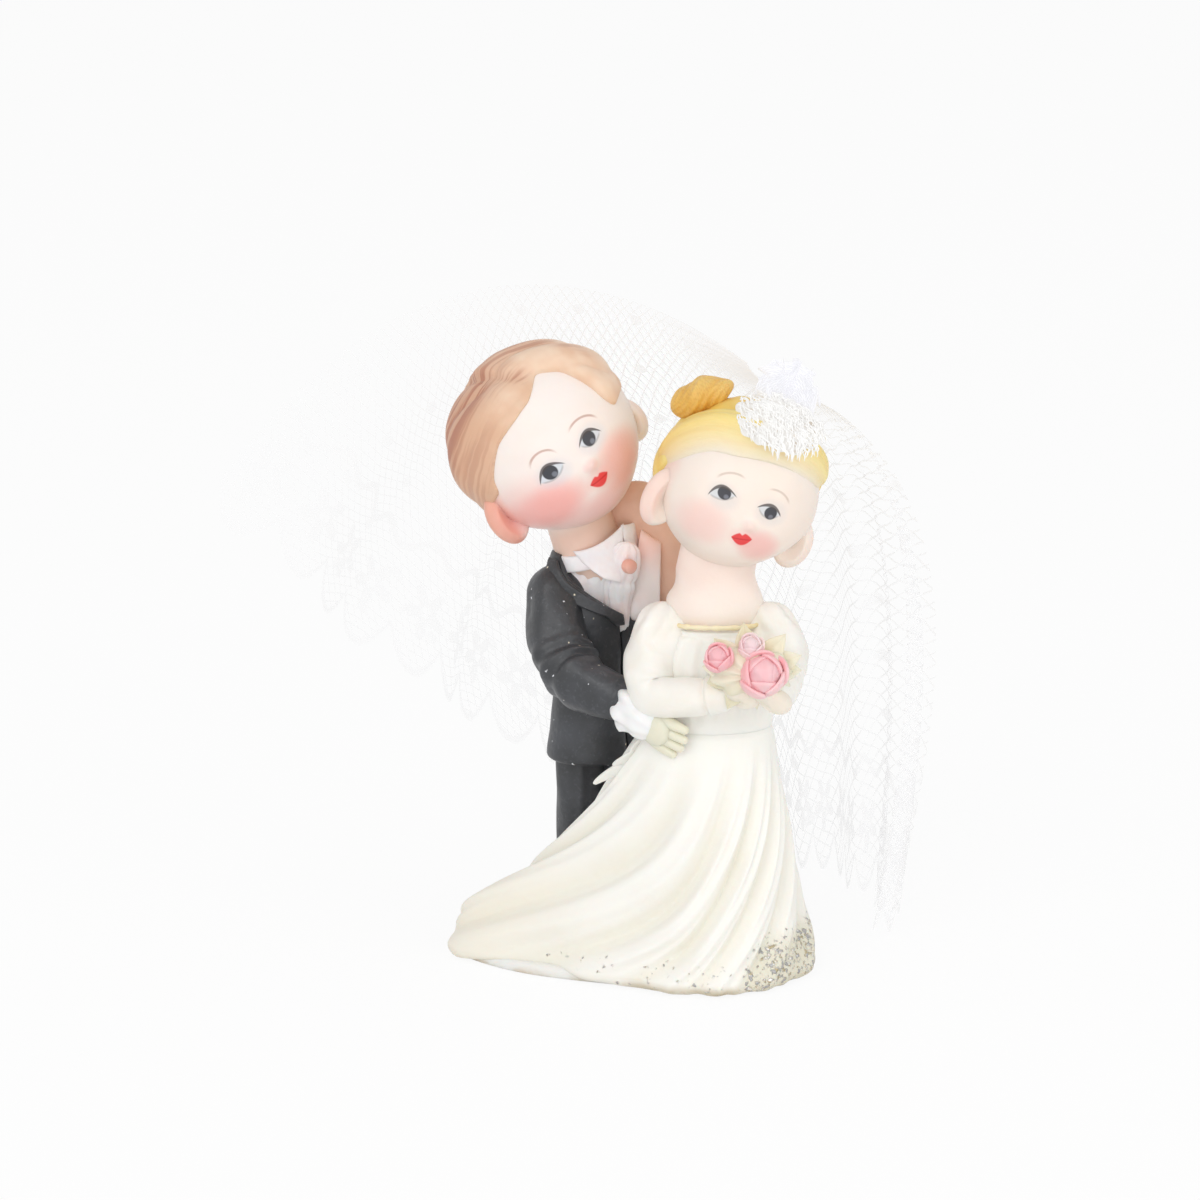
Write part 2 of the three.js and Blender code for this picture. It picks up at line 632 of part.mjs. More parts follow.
// Bouquet: three roses seated in a collar of leaves
const roses = [
  ['bouquet_rose_large', vec(0.26, -0.5, 0.05), 1],
  ['bouquet_rose_small', vec(-0.72, -0.45, 0.6), 0.62],
  ['bouquet_rose_top', vec(0.0, -0.15, 0.9), 0.55],
];
const bouquetSize = vec(bouquetHalfWidth, bouquetHalfHeight, bouquetHalfHeight);
for (const [name, seat, share] of roses) {
  const place = bouquetCentre.clone().add(seat.multiply(bouquetSize));
  fit(bride, name, rosePaint, ball(new THREE.Matrix4().makeTranslation(place), (p) => {
    const petals = 1 + 0.07 * Math.sin(5 * Math.atan2(p.z, p.x) + 3 * p.y);
    return p.clone().multiplyScalar(roseRadius * share * petals);
  }, 10, 7));
}
fit(bride, 'bouquet_leaves', leafPaint, ball(new THREE.Matrix4().makeTranslation(bouquetCentre), (p) => {
  const leaves = 1 + 0.1 * Math.cos(9 * Math.atan2(p.z, p.x));
  return vec(p.x * leaves, 0.62 * p.y, p.z * leaves).multiply(bouquetSize);
}, 18, 4));

// Groom's torso: the jacket's outer shape at a height share t, moved out or in; angle 0 is the front
const legTop = baseThickness + legHeight;
const hemZ = legTop - jacketOverlap;
const collarZ = hemZ + jacketHeight;
const groomHeading = degToRad(groomTurn) - quarterTurn;
function groomTorso(t, angle, out) {
  const wide = profile([
    [0, jacketHemHalfWidth],
    [0.34, jacketWaistHalfWidth],
    [0.68, chestHalfWidth],
    [0.86, 0.96 * chestHalfWidth],
    [1, collarRadius],
  ], t);
  const deep = profile([
    [0, jacketHemHalfDepth],
    [0.34, 0.93 * jacketHemHalfDepth],
    [0.68, chestHalfDepth],
    [0.86, 0.86 * chestHalfDepth],
    [1, 0.9 * collarRadius],
  ], t);
  const local = vec((deep + out) * Math.cos(angle), (wide + out) * Math.sin(angle), 0);
  local.applyAxisAngle(upward, groomHeading);
  return local.add(vec(groomX - 0.5 * groomLean * t, groomY - groomLean * t, lerp(hemZ, collarZ, t)));
}

// Groom's head, with a neck that goes down into the torso, and his hair
const collarTop = groomTorso(1, 0, 0).lerp(groomTorso(1, halfTurn, 0), 0.5);
const groomNeckLine = vec(
  -Math.sin(degToRad(groomHeadLean)),
  -Math.sin(degToRad(groomHeadTipFront)),
  Math.cos(degToRad(groomHeadLean)),
).normalize();
const groomHeadCentre = collarTop.clone().addScaledVector(groomNeckLine, groomNeckLength + groomHeadRadius);
const groomFrame = headFrame(groomHeadCentre, groomHeadYaw, groomHeadPitch, groomHeadRoll);
const groomRightEarSeat = vec(-0.9, -0.36, 0.18);
const groomLeftEarSeat = vec(0.78, -0.38, 0.3);
const neckFoot = collarTop.clone().setZ(collarZ - 0.4 * groomNeckRadius);
const groomNeck = [neckFoot, collarTop.clone().lerp(groomHeadCentre, 0.5)];
fit(groom, 'groom_head', skin, join(
  skull(groomFrame, groomHeadRadius, groomJawShare),
  ear(groomFrame, groomHeadRadius, groomEarRadius, groomRightEarSeat),
  ear(groomFrame, groomHeadRadius, groomEarRadius, groomLeftEarSeat),
  limb(groomNeck, [groomNeckRadius, groomNeckRadius], { rings: 3 }),
));
// The hair is parted above his left eye: a quiff rolls over the left temple, locks sweep to the other side
const partHeading = 285;
function groomHairline(angle) {
  const part = 18 * bumpAt(angle, partHeading, 14);
  const temple = 26 * bumpAt(angle, partHeading + 34, 16);
  return degToRad(96 - 5 * Math.sin(angle) - part + temple);
}
function groomLocks(p, angle) {
  const quiff = quiffRise * hill(p, 0.6, 0.62, 0.5, 0.45);
  const sweep = sideLockRise * (0.75 * hill(p, -0.45, 0.75, 0.5, 0.5) + hill(p, -0.85, 0.4, -0.1, 0.35));
  const parting = partingDepth * bumpAt(angle, partHeading, 9) * smoothstep(p.z, -0.3, 0.2);
  return quiff + sweep - parting;
}
fit(groom, 'groom_hair', brownHair, hairCap(
  groomFrame,
  groomHeadRadius,
  groomHairThickness,
  groomHairline,
  groomLocks,
));

// Shirt and jacket: the torso is a core in shirt linen, and the jacket is a shell around it.
// The jacket leaves a V open at the front, which closes at vFoot.
// Its left edge springs away behind the bride.
// The shirt front stands out in the V, most at the top.
const shirtInset = clothThickness + 1.6 * seatGap;
const shirtFront = (t, angle) => shirtSwell * bumpAt(angle, 0, 43) * smoothstep(t, 0.8, 1);
fit(groom, 'groom_shirt', whitePaint, loft(
  (t, angle) => groomTorso(t, angle, shirtFront(t, angle) - shirtInset),
  20,
  8,
));
const vFoot = 0.72;
const frontSlit = degToRad(1.5);
function vOpening(t, side) {
  const share = clamp((t - vFoot) / (1 - vFoot), 0, 1);
  const widest = side > 0 ? leftLapelOpening * Math.pow(share, 0.5) : lapelOpening * share;
  return degToRad(widest) + frontSlit;
}
function jacketPoint(u, v) {
  const t = 0.985 * v;
  const angle = lerp(vOpening(t, 1), fullTurn - vOpening(t, -1), u);
  return groomTorso(t, angle, -0.5 * clothThickness);
}
fit(groom, 'groom_jacket', blackPaint, sheet(jacketPoint, 20, 8, clothThickness));

// Lapels lie on the jacket along the edges of the V, widest a little above the middle
for (const [name, side] of sides) {
  const lapelPoint = (u, v) => {
    const t = lerp(vFoot - 0.05, 0.97, v);
    const width = (lapelWidth / chestHalfDepth) * Math.sin(halfTurn * lerp(0.08, 0.8, v));
    return groomTorso(t, side * (vOpening(t, side) + width * u), seatGap + 0.5 * lapelThickness);
  };
  fit(groom, `groom_${name}_lapel`, blackPaint, sheet(lapelPoint, 2, 6, lapelThickness));
}

// Stand-up shirt collar: a band around the neck, higher at the front and on his left
const collarBand = groomNeckRadius + seatGap + 0.5 * clothThickness;
const collarSteps = 12;
const collarPath = Array.from({ length: collarSteps }, (_, i) => {
  const angle = (i / collarSteps) * fullTurn;
  const turned = angle - groomHeading;
  const height = (0.35 + 0.12 * Math.cos(turned)) * collarHeight + 0.5 * collarTilt * (Math.sin(turned) - 1);
  return collarTop.clone().add(vec(collarBand * Math.cos(angle), collarBand * Math.sin(angle), height));
});
fit(groom, 'groom_collar', whitePaint, ring(collarPath, 0.4 * clothThickness, 0.5 * collarHeight, 6, 16));

// Tie and stud on the shirt front
const tieTop = 0.98;
const groomFront = vec(Math.cos(groomHeading), Math.sin(groomHeading), 0);
function tieLine(share) {
  const t = tieTop - (share * tieLength) / jacketHeight;
  return groomTorso(t, 0, shirtFront(t, 0) + 0.35 - clothThickness);
}
const knot = collarTop.clone().addScaledVector(groomFront, collarBand + clothThickness);
knot.setZ(collarZ + 0.4 * collarHeight);
const tiePath = [knot, tieLine(0.3), tieLine(0.65), tieLine(1)];
const tieRadii = [0.42 * tieWidth, 0.5 * tieWidth, 0.42 * tieWidth, 0.3 * tieWidth];
const tieShape = { sides: 8, rings: 4, side: vec(0, -1, 0), flat: 0.5 };
fit(groom, 'groom_tie', whitePaint, limb(tiePath, tieRadii, tieShape));
const studSeat = tieLine(0.15).addScaledVector(groomFront, 0.5 * tieWidth);
const studFrame = new THREE.Matrix4().makeTranslation(studSeat);
fit(groom, 'tie_stud', studPaint, ball(studFrame, (p) => p.clone().multiplyScalar(studRadius), 7, 5));

// Shoes stand on the base; the trousers are two legs in one piece that reach up into the jacket
function shoe(side) {
  return loft((t, angle) => {
    const share = Math.sqrt(Math.max(0.02, 1 - t ** 3));
    return vec(
      groomX + 0.5 * side * legSpacing + 0.36 * shoeLength * share * Math.cos(angle),
      groomY - 0.08 * shoeLength + 0.5 * shoeLength * share * Math.sin(angle),
      baseThickness + shoeHeight * t,
    );
  }, 12, 4);
}
function leg(side) {
  const x = groomX + 0.5 * side * legSpacing;
  const foot = baseThickness + 0.7 * shoeHeight;
  const ankle = vec(x, groomY, foot);
  const hip = vec(lerp(groomX, x, 0.9), groomY, legTop);
  const radii = [0.95 * legRadius, 1.1 * legRadius];
  return limb([ankle, hip], radii, { sides: 9, rings: 3, side: vec(1, 0, 0) });
}
for (const [name, side] of sides) fit(groom, `groom_${name}_shoe`, blackPaint, shoe(side));
fit(groom, 'groom_trousers', blackPaint, join(leg(-1), leg(1)));

// Groom's arms: the right one comes round to the front of her waist, the left one lies across her back.
// bend moves the elbow out of the straight line, reach runs from the wrist to the knuckles, which rest at
// an angle round her waist, and the fingers fan out from there.
const groomArms = [
  {
    name: 'right',
    shoulder: groomTorso(0.8, -quarterTurn, -0.3 * groomSleeveRadius),
    restAngle: 222,
    restOffset: vec(-0.9, -1.1, 0.6),
    reach: vec(2.1, -2.4, -1.5),
    fingers: vec(2.6, -1.0, -1.5),
    bend: vec(-2.3, -0.2, -2.2),
  },
  {
    name: 'left',
    shoulder: groomTorso(0.72, quarterTurn, -0.3 * groomSleeveRadius),
    restAngle: 70,
    restOffset: vec(0.5, 1.6, 2.5),
    reach: vec(3.2, -0.9, -0.8),
    fingers: vec(1.35, -0.38, -0.34),
    bend: vec(2.2, 1.8, -1.6),
  },
];
const fingerPlaces = [-1.5, -0.5, 0.5, 1.5];
function groomHand(wristEnd, knuckles, fingers, outward) {
  const palmRadii = [0.75 * groomHandRadius, groomHandRadius];
  const palm = limb([wristEnd, knuckles], palmRadii, { sides: 8, rings: 3, side: outward, flat: 0.6 });
  const across = fingers.clone().cross(outward).normalize();
  const fingerBodies = fingerPlaces.map((place) => {
    const root = knuckles.clone().addScaledVector(across, 0.48 * place * groomHandRadius);
    const tip = root.clone().addScaledVector(fingers, 1 - 0.06 * place ** 2);
    tip.addScaledVector(across, 0.1 * place * groomHandRadius);
    const widths = [0.32 * groomHandRadius, 0.24 * groomHandRadius];
    return limb([root, tip], widths, { sides: 6, rings: 2, side: outward });
  });
  return join(palm, ...fingerBodies);
}
for (const { name, shoulder, restAngle, restOffset, reach, fingers, bend } of groomArms) {
  const rest = gownSide(restAngle, 1).add(restOffset);
  const outward = vec(Math.cos(degToRad(restAngle)), Math.sin(degToRad(restAngle)), 0);
  const wrist = rest.clone().sub(reach);
  const elbow = shoulder.clone().lerp(wrist, 0.55).add(bend);
  const upper = shoulder.clone().lerp(elbow, 0.5).addScaledVector(bend, 0.3);
  const along = reach.clone().normalize();
  const cuffFoot = wrist.clone().addScaledVector(along, 0.2 * groomWristRadius);
  const cuffEnd = cuffFoot.clone().addScaledVector(along, cuffLength);
  const wristEnd = wrist.clone().addScaledVector(along, cuffLength);
  const sleeveWidths = [groomSleeveRadius, groomSleeveRadius, groomElbowRadius, groomWristRadius];
  fit(groom, `groom_${name}_hand`, creamPaint, groomHand(wristEnd, rest, fingers, outward));
  const cuff = limb([cuffFoot, cuffEnd], [cuffRadius, cuffRadius], { sides: 9, rings: 2 });
  fit(groom, `groom_${name}_cuff`, whitePaint, cuff);
  fit(groom, `groom_${name}_sleeve`, blackPaint, limb([shoulder, upper, elbow, wrist], sleeveWidths));
}

// Veil: a puff of gathered tulle on the crown, and a frilled rosette in front of it
const crown = vec(0, 1, -0.1).normalize();
const crownHeight = brideHeadRadius + brideHairThickness + 0.4 * gatherRadius;
const gatherSeat = crown.multiplyScalar(crownHeight).applyMatrix4(brideFrame);
veil.position.copy(gatherSeat);
fit(veil, 'veil_gather', laceThread, ball(new THREE.Matrix4().makeTranslation(gatherSeat), (p) => {
  const pleats = 1 + 0.1 * Math.cos(9 * Math.atan2(p.y, p.x));
  return vec(p.x * pleats, p.y * pleats, 0.85 * p.z).multiplyScalar(gatherRadius);
}, 18, 6));
const rosetteSeat = vec(0.2, 0.9, 0.42).normalize();
const rosetteTurn = new THREE.Quaternion().setFromUnitVectors(upward, rosetteSeat);
const rosettePlace = new THREE.Matrix4().makeRotationFromQuaternion(rosetteTurn);
rosettePlace.setPosition(rosetteSeat.multiplyScalar(brideHeadRadius + brideHairThickness));
fit(veil, 'veil_rosette', laceThread, ball(brideFrame.clone().multiply(rosettePlace), (p) => {
  const frill = 1 + 0.12 * Math.cos(11 * Math.atan2(p.y, p.x));
  return vec(p.x * frill, p.y * frill, 0.34 * p.z).multiplyScalar(rosetteRadius);
}, 22, 6));

// The fan: each line of lace leaves the gather at a plan angle, arches and falls to the hem.
// u runs from the lifted left corner to the right edge, v from the gather to the hem.
const fanAngle = (u) => degToRad(lerp(164, 20, Math.pow(u, 1.15)));
const hemHeight = (u) => veilFloorGap + veilThickness + veilHemLift * Math.pow(1 - u, 4);
const groomFromGather = groomHeadCentre.clone().sub(gatherSeat).setZ(0).length();
const overGroom = groomFromGather / veilReachLeft;
const archTop = groomHeadCentre.z + groomHeadRadius + groomHairThickness + veilHeadroom;
const fallThere = (gatherSeat.z - hemHeight(0)) * overGroom;
const arch = (archTop - gatherSeat.z + fallThere) / (overGroom * (1 - overGroom));
function fanPoint(u, v) {
  const left = 1 - u;
  const side = (veilReachBack - veilReachRight) * Math.sin(halfTurn * u);
  const reach = veilReachRight + side + (veilReachLeft - veilReachRight) * left ** 3;
  const swell = veilSwell * u ** 2 * Math.sin(halfTurn * v);
  const out = reach * (1 - Math.pow(1 - v, lerp(1.05, 2.3, u))) + swell;
  const fall = (gatherSeat.z - hemHeight(u)) * Math.pow(v, lerp(1, 1.6, Math.sqrt(u)));
  const rise = arch * left ** 2 * v * (1 - v);
  const bow = veilBow * left * v * (1 - v);
  const heading = vec(Math.cos(fanAngle(u)), Math.sin(fanAngle(u)), 0);
  return gatherSeat.clone().addScaledVector(heading, out).add(vec(0, bow, rise - fall));
}
function veilPoint(u, v) {
  const s = lerp(gatherRadius / 40, 1, v);
  const pleat = veilPleatDepth * smoothstep(s, 0.05, 0.7) * Math.cos(fullTurn * veilPleats * u);
  const heading = vec(Math.cos(fanAngle(u)), Math.sin(fanAngle(u)), 0);
  return fanPoint(u, s).addScaledVector(heading, pleat);
}
fit(veil, 'veil', laceThread, sheet(veilPoint, 36, 8, veilThickness));

export default topper;
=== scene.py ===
import math
import bmesh
import bpy
import numpy as np
from mathutils import Matrix


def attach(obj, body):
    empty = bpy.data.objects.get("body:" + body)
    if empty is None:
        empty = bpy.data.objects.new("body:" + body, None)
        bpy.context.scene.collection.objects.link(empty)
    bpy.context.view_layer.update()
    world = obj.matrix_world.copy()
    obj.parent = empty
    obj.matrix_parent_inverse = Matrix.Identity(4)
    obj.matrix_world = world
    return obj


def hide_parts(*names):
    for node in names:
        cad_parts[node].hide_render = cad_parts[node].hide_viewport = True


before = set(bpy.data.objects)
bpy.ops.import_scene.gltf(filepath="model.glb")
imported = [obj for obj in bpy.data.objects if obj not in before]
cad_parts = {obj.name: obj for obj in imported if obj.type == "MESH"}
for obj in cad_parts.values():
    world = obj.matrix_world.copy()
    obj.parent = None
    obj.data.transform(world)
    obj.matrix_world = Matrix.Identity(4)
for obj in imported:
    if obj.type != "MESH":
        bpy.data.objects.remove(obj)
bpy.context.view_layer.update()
mm = 0.001  # shapes are worked out in millimetres and put in as metres
turn = 2 * math.pi
print("frame loaded:", len(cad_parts), "nodes")


# small maths for whole arrays
def lerp(a, b, t):
    return a + (b - a) * t


def ease(x, a, b):  # smooth step from 0 at a to 1 at b
    t = np.clip((x - a) / (b - a), 0, 1)
    return t * t * (3 - 2 * t)


def bell(x, spread):  # soft bump, 1 where x is 0
    return np.exp(-(x / spread) ** 2)


def unit(v):
    v = np.asarray(v, float)
    return v / np.linalg.norm(v, axis=-1, keepdims=True)


def wrapped(angle):  # the same angle between -pi and pi
    return np.arctan2(np.sin(angle), np.cos(angle))


def near(angle, degrees, wide):  # soft bump round an angle, both in degrees
    return bell(wrapped(angle - math.radians(degrees)), math.radians(wide))


def leaning(aside, back):  # unit direction tilted aside and back, in degrees
    aside, back = math.radians(aside), math.radians(back)
    return unit([math.sin(aside), math.sin(back), math.cos(aside)])


def stack(x, y, z):
    return np.stack(np.broadcast_arrays(x, y, z), -1).astype(float)


def spread(rows, cols):  # row shares down, column shares across
    return np.linspace(0, 1, rows)[:, None], np.linspace(0, 1, cols)[None, :]


def profile(stations, t):  # eased from each [share, value] station to the next
    total = np.full(np.shape(t), float(stations[0][1]))
    for (a, va), (b, vb) in zip(stations, stations[1:]):
        total = total + (vb - va) * ease(t, a, b)
    return total


def curveThrough(points, s):  # centripetal Catmull-Rom curve through points, at shares s
    p = np.asarray(points, float)
    p = np.vstack([2 * p[0] - p[1], p, 2 * p[-1] - p[-2]])
    n = len(p) - 3
    k = np.minimum((s * n).astype(int), n - 1)
    w = (s * n - k)[:, None]
    p0, p1, p2, p3 = p[k], p[k + 1], p[k + 2], p[k + 3]
    d0, d1, d2 = [np.maximum(np.linalg.norm(b - a, axis=1), 1e-9)[:, None] ** 0.5
                  for a, b in ((p0, p1), (p1, p2), (p2, p3))]
    m1 = ((p1 - p0) / d0 - (p2 - p0) / (d0 + d1) + (p2 - p1) / d1) * d1
    m2 = ((p2 - p1) / d1 - (p3 - p1) / (d1 + d2) + (p3 - p2) / d2) * d1
    return ((2 * w ** 3 - 3 * w ** 2 + 1) * p1 + (w ** 3 - 2 * w ** 2 + w) * m1
            + (3 * w ** 2 - 2 * w ** 3) * p2 + (w ** 3 - w ** 2) * m2)


def swept(core, across, over, wide, tall):  # outlines carried along a line, wide across it and tall over it
    return core[..., None, :] + across[..., None, :] * wide[..., None] + over[..., None, :] * tall[..., None]


# a limb: circles carried along a curve, closed by quarter-round ends; swell(s, angle) changes the radius
def limb(path, radii, side=(0, 0, 1), flat=1.0, rings=70, around=48, swell=None):
    cap = np.linspace(0, math.pi / 2, 9)[:-1]
    s = np.concatenate([np.zeros(8), np.linspace(0, 1, rings), np.ones(8)])
    along = np.concatenate([-np.cos(cap), np.zeros(rings), np.cos(cap[::-1])])
    share = np.concatenate([np.sin(cap), np.ones(rings), np.sin(cap[::-1])])
    step = 1e-3
    centre = curveThrough(path, s)
    tangent = unit(curveThrough(path, np.minimum(s + step, 1)) - curveThrough(path, np.maximum(s - step, 0)))
    count = np.arange(len(radii), dtype=float)
    radius = curveThrough(np.stack([radii, count, 0 * count], 1), s)[:, 0]
    across = unit(np.asarray(side, float) - tangent * (tangent @ np.asarray(side, float))[:, None])
    over = np.cross(tangent, across)
    angle = np.linspace(0, turn, around + 1)[None, :]
    r = (radius * share)[:, None] * np.ones_like(angle)
    if swell is not None:
        r = r * (1 + swell(s[:, None], angle))
    core = centre + tangent * (along * radius)[:, None]
    return swept(core, across, over, r * flat * np.cos(angle), r * np.sin(angle))


# a slab: a surface with its thickness along its normals, thinned to nothing at its rounded edges
def slab(surface, rows, cols, thickness, rim=0.08):
    v = (0.5 - 0.5 * np.cos(np.linspace(0, math.pi, rows)))[:, None]
    u = (0.5 - 0.5 * np.cos(np.linspace(0, math.pi, cols)))[None, :]
    step = 1e-3
    middle = surface(u, v)
    du = surface(np.minimum(u + step, 1), v) - surface(np.maximum(u - step, 0), v)
    dv = surface(u, np.minimum(v + step, 1)) - surface(u, np.maximum(v - step, 0))
    normal = unit(np.cross(du, dv) + 1e-12)
    edge = np.minimum(np.minimum(u, 1 - u), np.minimum(v, 1 - v))
    full = np.sqrt(1 - (1 - np.clip(edge / rim, 0, 1)) ** 2)[..., None]
    return [middle + normal * full * 0.5 * thickness, middle - normal * full * 0.5 * thickness]


# puts grids of points into one mesh: quads between neighbours, doubles merged so seams and poles close;
# the piece stands in for the node of its own name, unless nodes says otherwise
def addPiece(name, grids, material, marks=None, uvs=None, nodes=None, flip=True):
    faces, uvRows, start = [], [], 0
    for k, grid in enumerate(grids):
        rows, cols = grid.shape[:2]
        i, j = np.meshgrid(np.arange(rows - 1), np.arange(cols - 1), indexing="ij")
        corner = start + i * cols + j
        faces.append(np.stack([corner, corner + 1, corner + cols + 1, corner + cols], -1).reshape(-1, 4))
        v, u = np.meshgrid(np.linspace(0, 1, rows), np.linspace(0, 1, cols), indexing="ij")
        uvRows.append(np.stack([u, v], -1).reshape(-1, 2) if uvs is None else uvs[k].reshape(-1, 2))
        start += rows * cols
    faces = np.concatenate(faces)
    mesh = bpy.data.meshes.new(name)
    mesh.from_pydata(np.concatenate([g.reshape(-1, 3) for g in grids]) * mm, [], faces)
    layer = mesh.uv_layers.new(name="own")
    layer.data.foreach_set("uv", np.concatenate(uvRows)[faces.ravel()].astype(np.float32).ravel())
    for mark, arrays in (marks or {}).items():
        values = np.concatenate([np.broadcast_to(a, g.shape[:2]).ravel() for a, g in zip(arrays, grids)])
        mesh.attributes.new(mark, "FLOAT", "POINT").data.foreach_set("value", values.astype(np.float32))
    tidy = bmesh.new()
    tidy.from_mesh(mesh)
    bmesh.ops.remove_doubles(tidy, verts=tidy.verts, dist=1e-7)
    if flip:
        bmesh.ops.recalc_face_normals(tidy, faces=tidy.faces)
    tidy.to_mesh(mesh)
    tidy.free()
    mesh.shade_smooth()
    mesh.materials.append(material)
    piece = bpy.data.objects.new(name, mesh)
    bpy.context.scene.collection.objects.link(piece)
    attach(piece, "root")
    if nodes is None:
        nodes = ["".join("_" + c.lower() if c.isupper() else c for c in name)]
    if nodes:
        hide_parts(*nodes)
    return piece


# a wire is a socket of a material's tree: arithmetic on wires adds Math nodes
class Wire:
    def __init__(self, tree, socket=None, material=None):
        self.tree = tree
        self.socket = socket
        self.material = material

    def node(self, kind, settings=None, values=None, out=0):
        made = self.tree.nodes.new(kind)
        for key, value in (settings or {}).items():
            setattr(made, key, value)
        for key, value in (values or {}).items():
            if isinstance(value, Wire):
                self.tree.links.new(value.socket, made.inputs[key])
            else:
                made.inputs[key].default_value = value
        return Wire(self.tree, made.outputs[out])

    def math(self, operation, *values):
        return self.node("ShaderNodeMath", {"operation": operation}, dict(enumerate(values)))

    def size(self):  # without its sign
        return self.math("ABSOLUTE", self)

    def fract(self):
        return self.math("FRACT", self)

    def sin(self):
        return self.math("SINE", self)

    def most(self, other):
        return self.math("MAXIMUM", self, other)

    def least(self, other):
        return self.math("MINIMUM", self, other)

    def step(self, a, b):  # smooth step from 0 at a to 1 at b, either way round
        low, high, start, end = (a, b, 0.0, 1.0) if a < b else (b, a, 1.0, 0.0)
        return self.node("ShaderNodeMapRange", {"interpolation_type": "SMOOTHSTEP"},
                         {0: self, 1: low, 2: high, 3: start, 4: end})

    def parts(self):
        made = self.node("ShaderNodeSeparateXYZ", None, {0: self}).socket.node
        return [Wire(self.tree, made.outputs[k]) for k in range(3)]

    def blend(self, first, second):  # colour mix, with this wire as the factor
        values = {0: self, 6: first if isinstance(first, Wire) else (*first, 1),
                  7: second if isinstance(second, Wire) else (*second, 1)}
        return self.node("ShaderNodeMix", {"data_type": "RGBA"}, values, 2)

    def place(self):  # object coordinates
        return self.node("ShaderNodeTexCoord", out=3)

    def own(self):  # the piece's own UV map
        return self.node("ShaderNodeUVMap", {"uv_map": "own"})

    def mark(self, name):  # a value kept on the points
        return self.node("ShaderNodeAttribute", {"attribute_name": name}, out=2)

    def noise(self, scale, detail=2.0, where=None, rough=0.5):
        where = where or self.place()
        return self.node("ShaderNodeTexNoise", None,
                         {"Vector": where, "Scale": scale, "Detail": detail, "Roughness": rough})

    def turned(self, scale, where):  # coordinates stretched by three factors
        return self.node("ShaderNodeMapping", None, {"Vector": where, "Scale": scale})

    def relief(self, height, distance):  # bump, its height in metres
        return self.node("ShaderNodeBump", None, {"Height": height, "Distance": distance})

    def feed(self, **sockets):  # links varying values to the shader's sockets
        names = {"colour": "Base Color", "rough": "Roughness", "metal": "Metallic", "alpha": "Alpha",
                 "normal": "Normal"}
        shader = self.tree.nodes["Principled BSDF"]
        for key, value in sockets.items():
            self.tree.links.new(value.socket, shader.inputs[names[key]])
        return self.material


# plain operators between wires and numbers, either way round
for method, operation in (("add", "ADD"), ("sub", "SUBTRACT"), ("mul", "MULTIPLY"), ("truediv", "DIVIDE"),
                          ("pow", "POWER")):
    setattr(Wire, f"__{method}__", lambda self, other, kind=operation: self.math(kind, self, other))
    setattr(Wire, f"__r{method}__", lambda self, other, kind=operation: self.math(kind, other, self))


def newMaterial(name, fixed):  # a wire in a new material's tree, with its unvarying values set
    material = bpy.data.materials.new(name)
    material.use_nodes = True
    for key, value in fixed.items():
        material.node_tree.nodes["Principled BSDF"].inputs[key].default_value = value
    return Wire(material.node_tree, None, material)


resinFixed = {"Subsurface Weight": 0.18, "Subsurface Radius": (1.0, 0.55, 0.4), "Subsurface Scale": 0.0012,
              "Specular IOR Level": 0.4}


# plain paints: the colour, a second tint, and how much of the second is mottled in
paints = {"creamPaint": ((0.92, 0.90, 0.85), (0.86, 0.80, 0.67), 0.4),
          "goldTrim": ((0.92, 0.82, 0.58), (0.84, 0.66, 0.34), 0.9),
          "frillPaint": ((0.84, 0.82, 0.77), (0.62, 0.59, 0.52), 0.8),
          "brideHandPaint": ((0.90, 0.83, 0.72), (0.80, 0.68, 0.50), 0.3),
          "rosePaint": ((0.96, 0.50, 0.53), (0.97, 0.70, 0.71), 0.9),
          "palePaint": ((0.94, 0.66, 0.68), (0.93, 0.84, 0.80), 0.9),
          "leafPaint": ((0.86, 0.81, 0.66), (0.70, 0.62, 0.38), 0.7),
          "webShadePaint": ((0.84, 0.55, 0.42), (0.74, 0.44, 0.31), 0.7),
          "studPaint": ((0.84, 0.43, 0.34), (0.90, 0.60, 0.52), 0.8),
          "groomHandPaint": ((0.82, 0.79, 0.64), (0.70, 0.65, 0.46), 0.7),
          "whitePaint": ((0.92, 0.915, 0.91), (0.80, 0.79, 0.79), 0.3),
          "laceThread": ((0.72, 0.715, 0.70), (0.64, 0.62, 0.595), 0.5)}


# satin paint on resin: brushed mottling in the second tint, faint brush relief
def paintedResin(name, kind=None, rough=0.42, fixed=resinFixed):
    colour, hollow, mottle = paints[kind or name]
    wire = newMaterial(name, fixed)
    broad, fine = wire.noise(220, 3), wire.noise(1400, 3)
    return wire.feed(colour=(broad.step(0.42, 0.75) * mottle).blend(colour, hollow),
                     rough=rough - 0.08 + fine * 0.16, normal=wire.relief(fine + broad * 2, 0.00006))


print("helpers ready")


# gown: an ellipse that widens downwards and is drawn out into a train, pushed in and out by folds
gown = {"x": 8.0, "y": -4.8, "foot": 1.2, "height": 24.3, "waistWide": 6.2, "waistDeep": 4.3,
        "hemWide": 10.2, "hemDeep": 10.7, "train": 16.6, "trainHeight": 9.8, "folds": 12, "depth": 1.75,
        "twist": 80, "notch": 1.5, "notchAt": 213, "flip": 0.7, "flipAt": 350, "fineFolds": 0.38,
        "hemDrop": 1.0, "baseShows": 212,
        "glitterTop": 0.16, "glitterFrom": (-84, -50), "glitterTo": (5, 45),
        # hollow: the darker yellow of the fold valleys, partly cream paint and partly painted shade
        "cream": (0.93, 0.915, 0.865), "hollow": (0.84, 0.80, 0.68), "trainCream": (0.885, 0.83, 0.70),
        "rim": (0.54, 0.45, 0.29), "silver": (0.43, 0.42, 0.42), "gold": (0.50, 0.42, 0.26),
        "sand": (0.73, 0.69, 0.54), "glint": (0.80, 0.78, 0.74)}


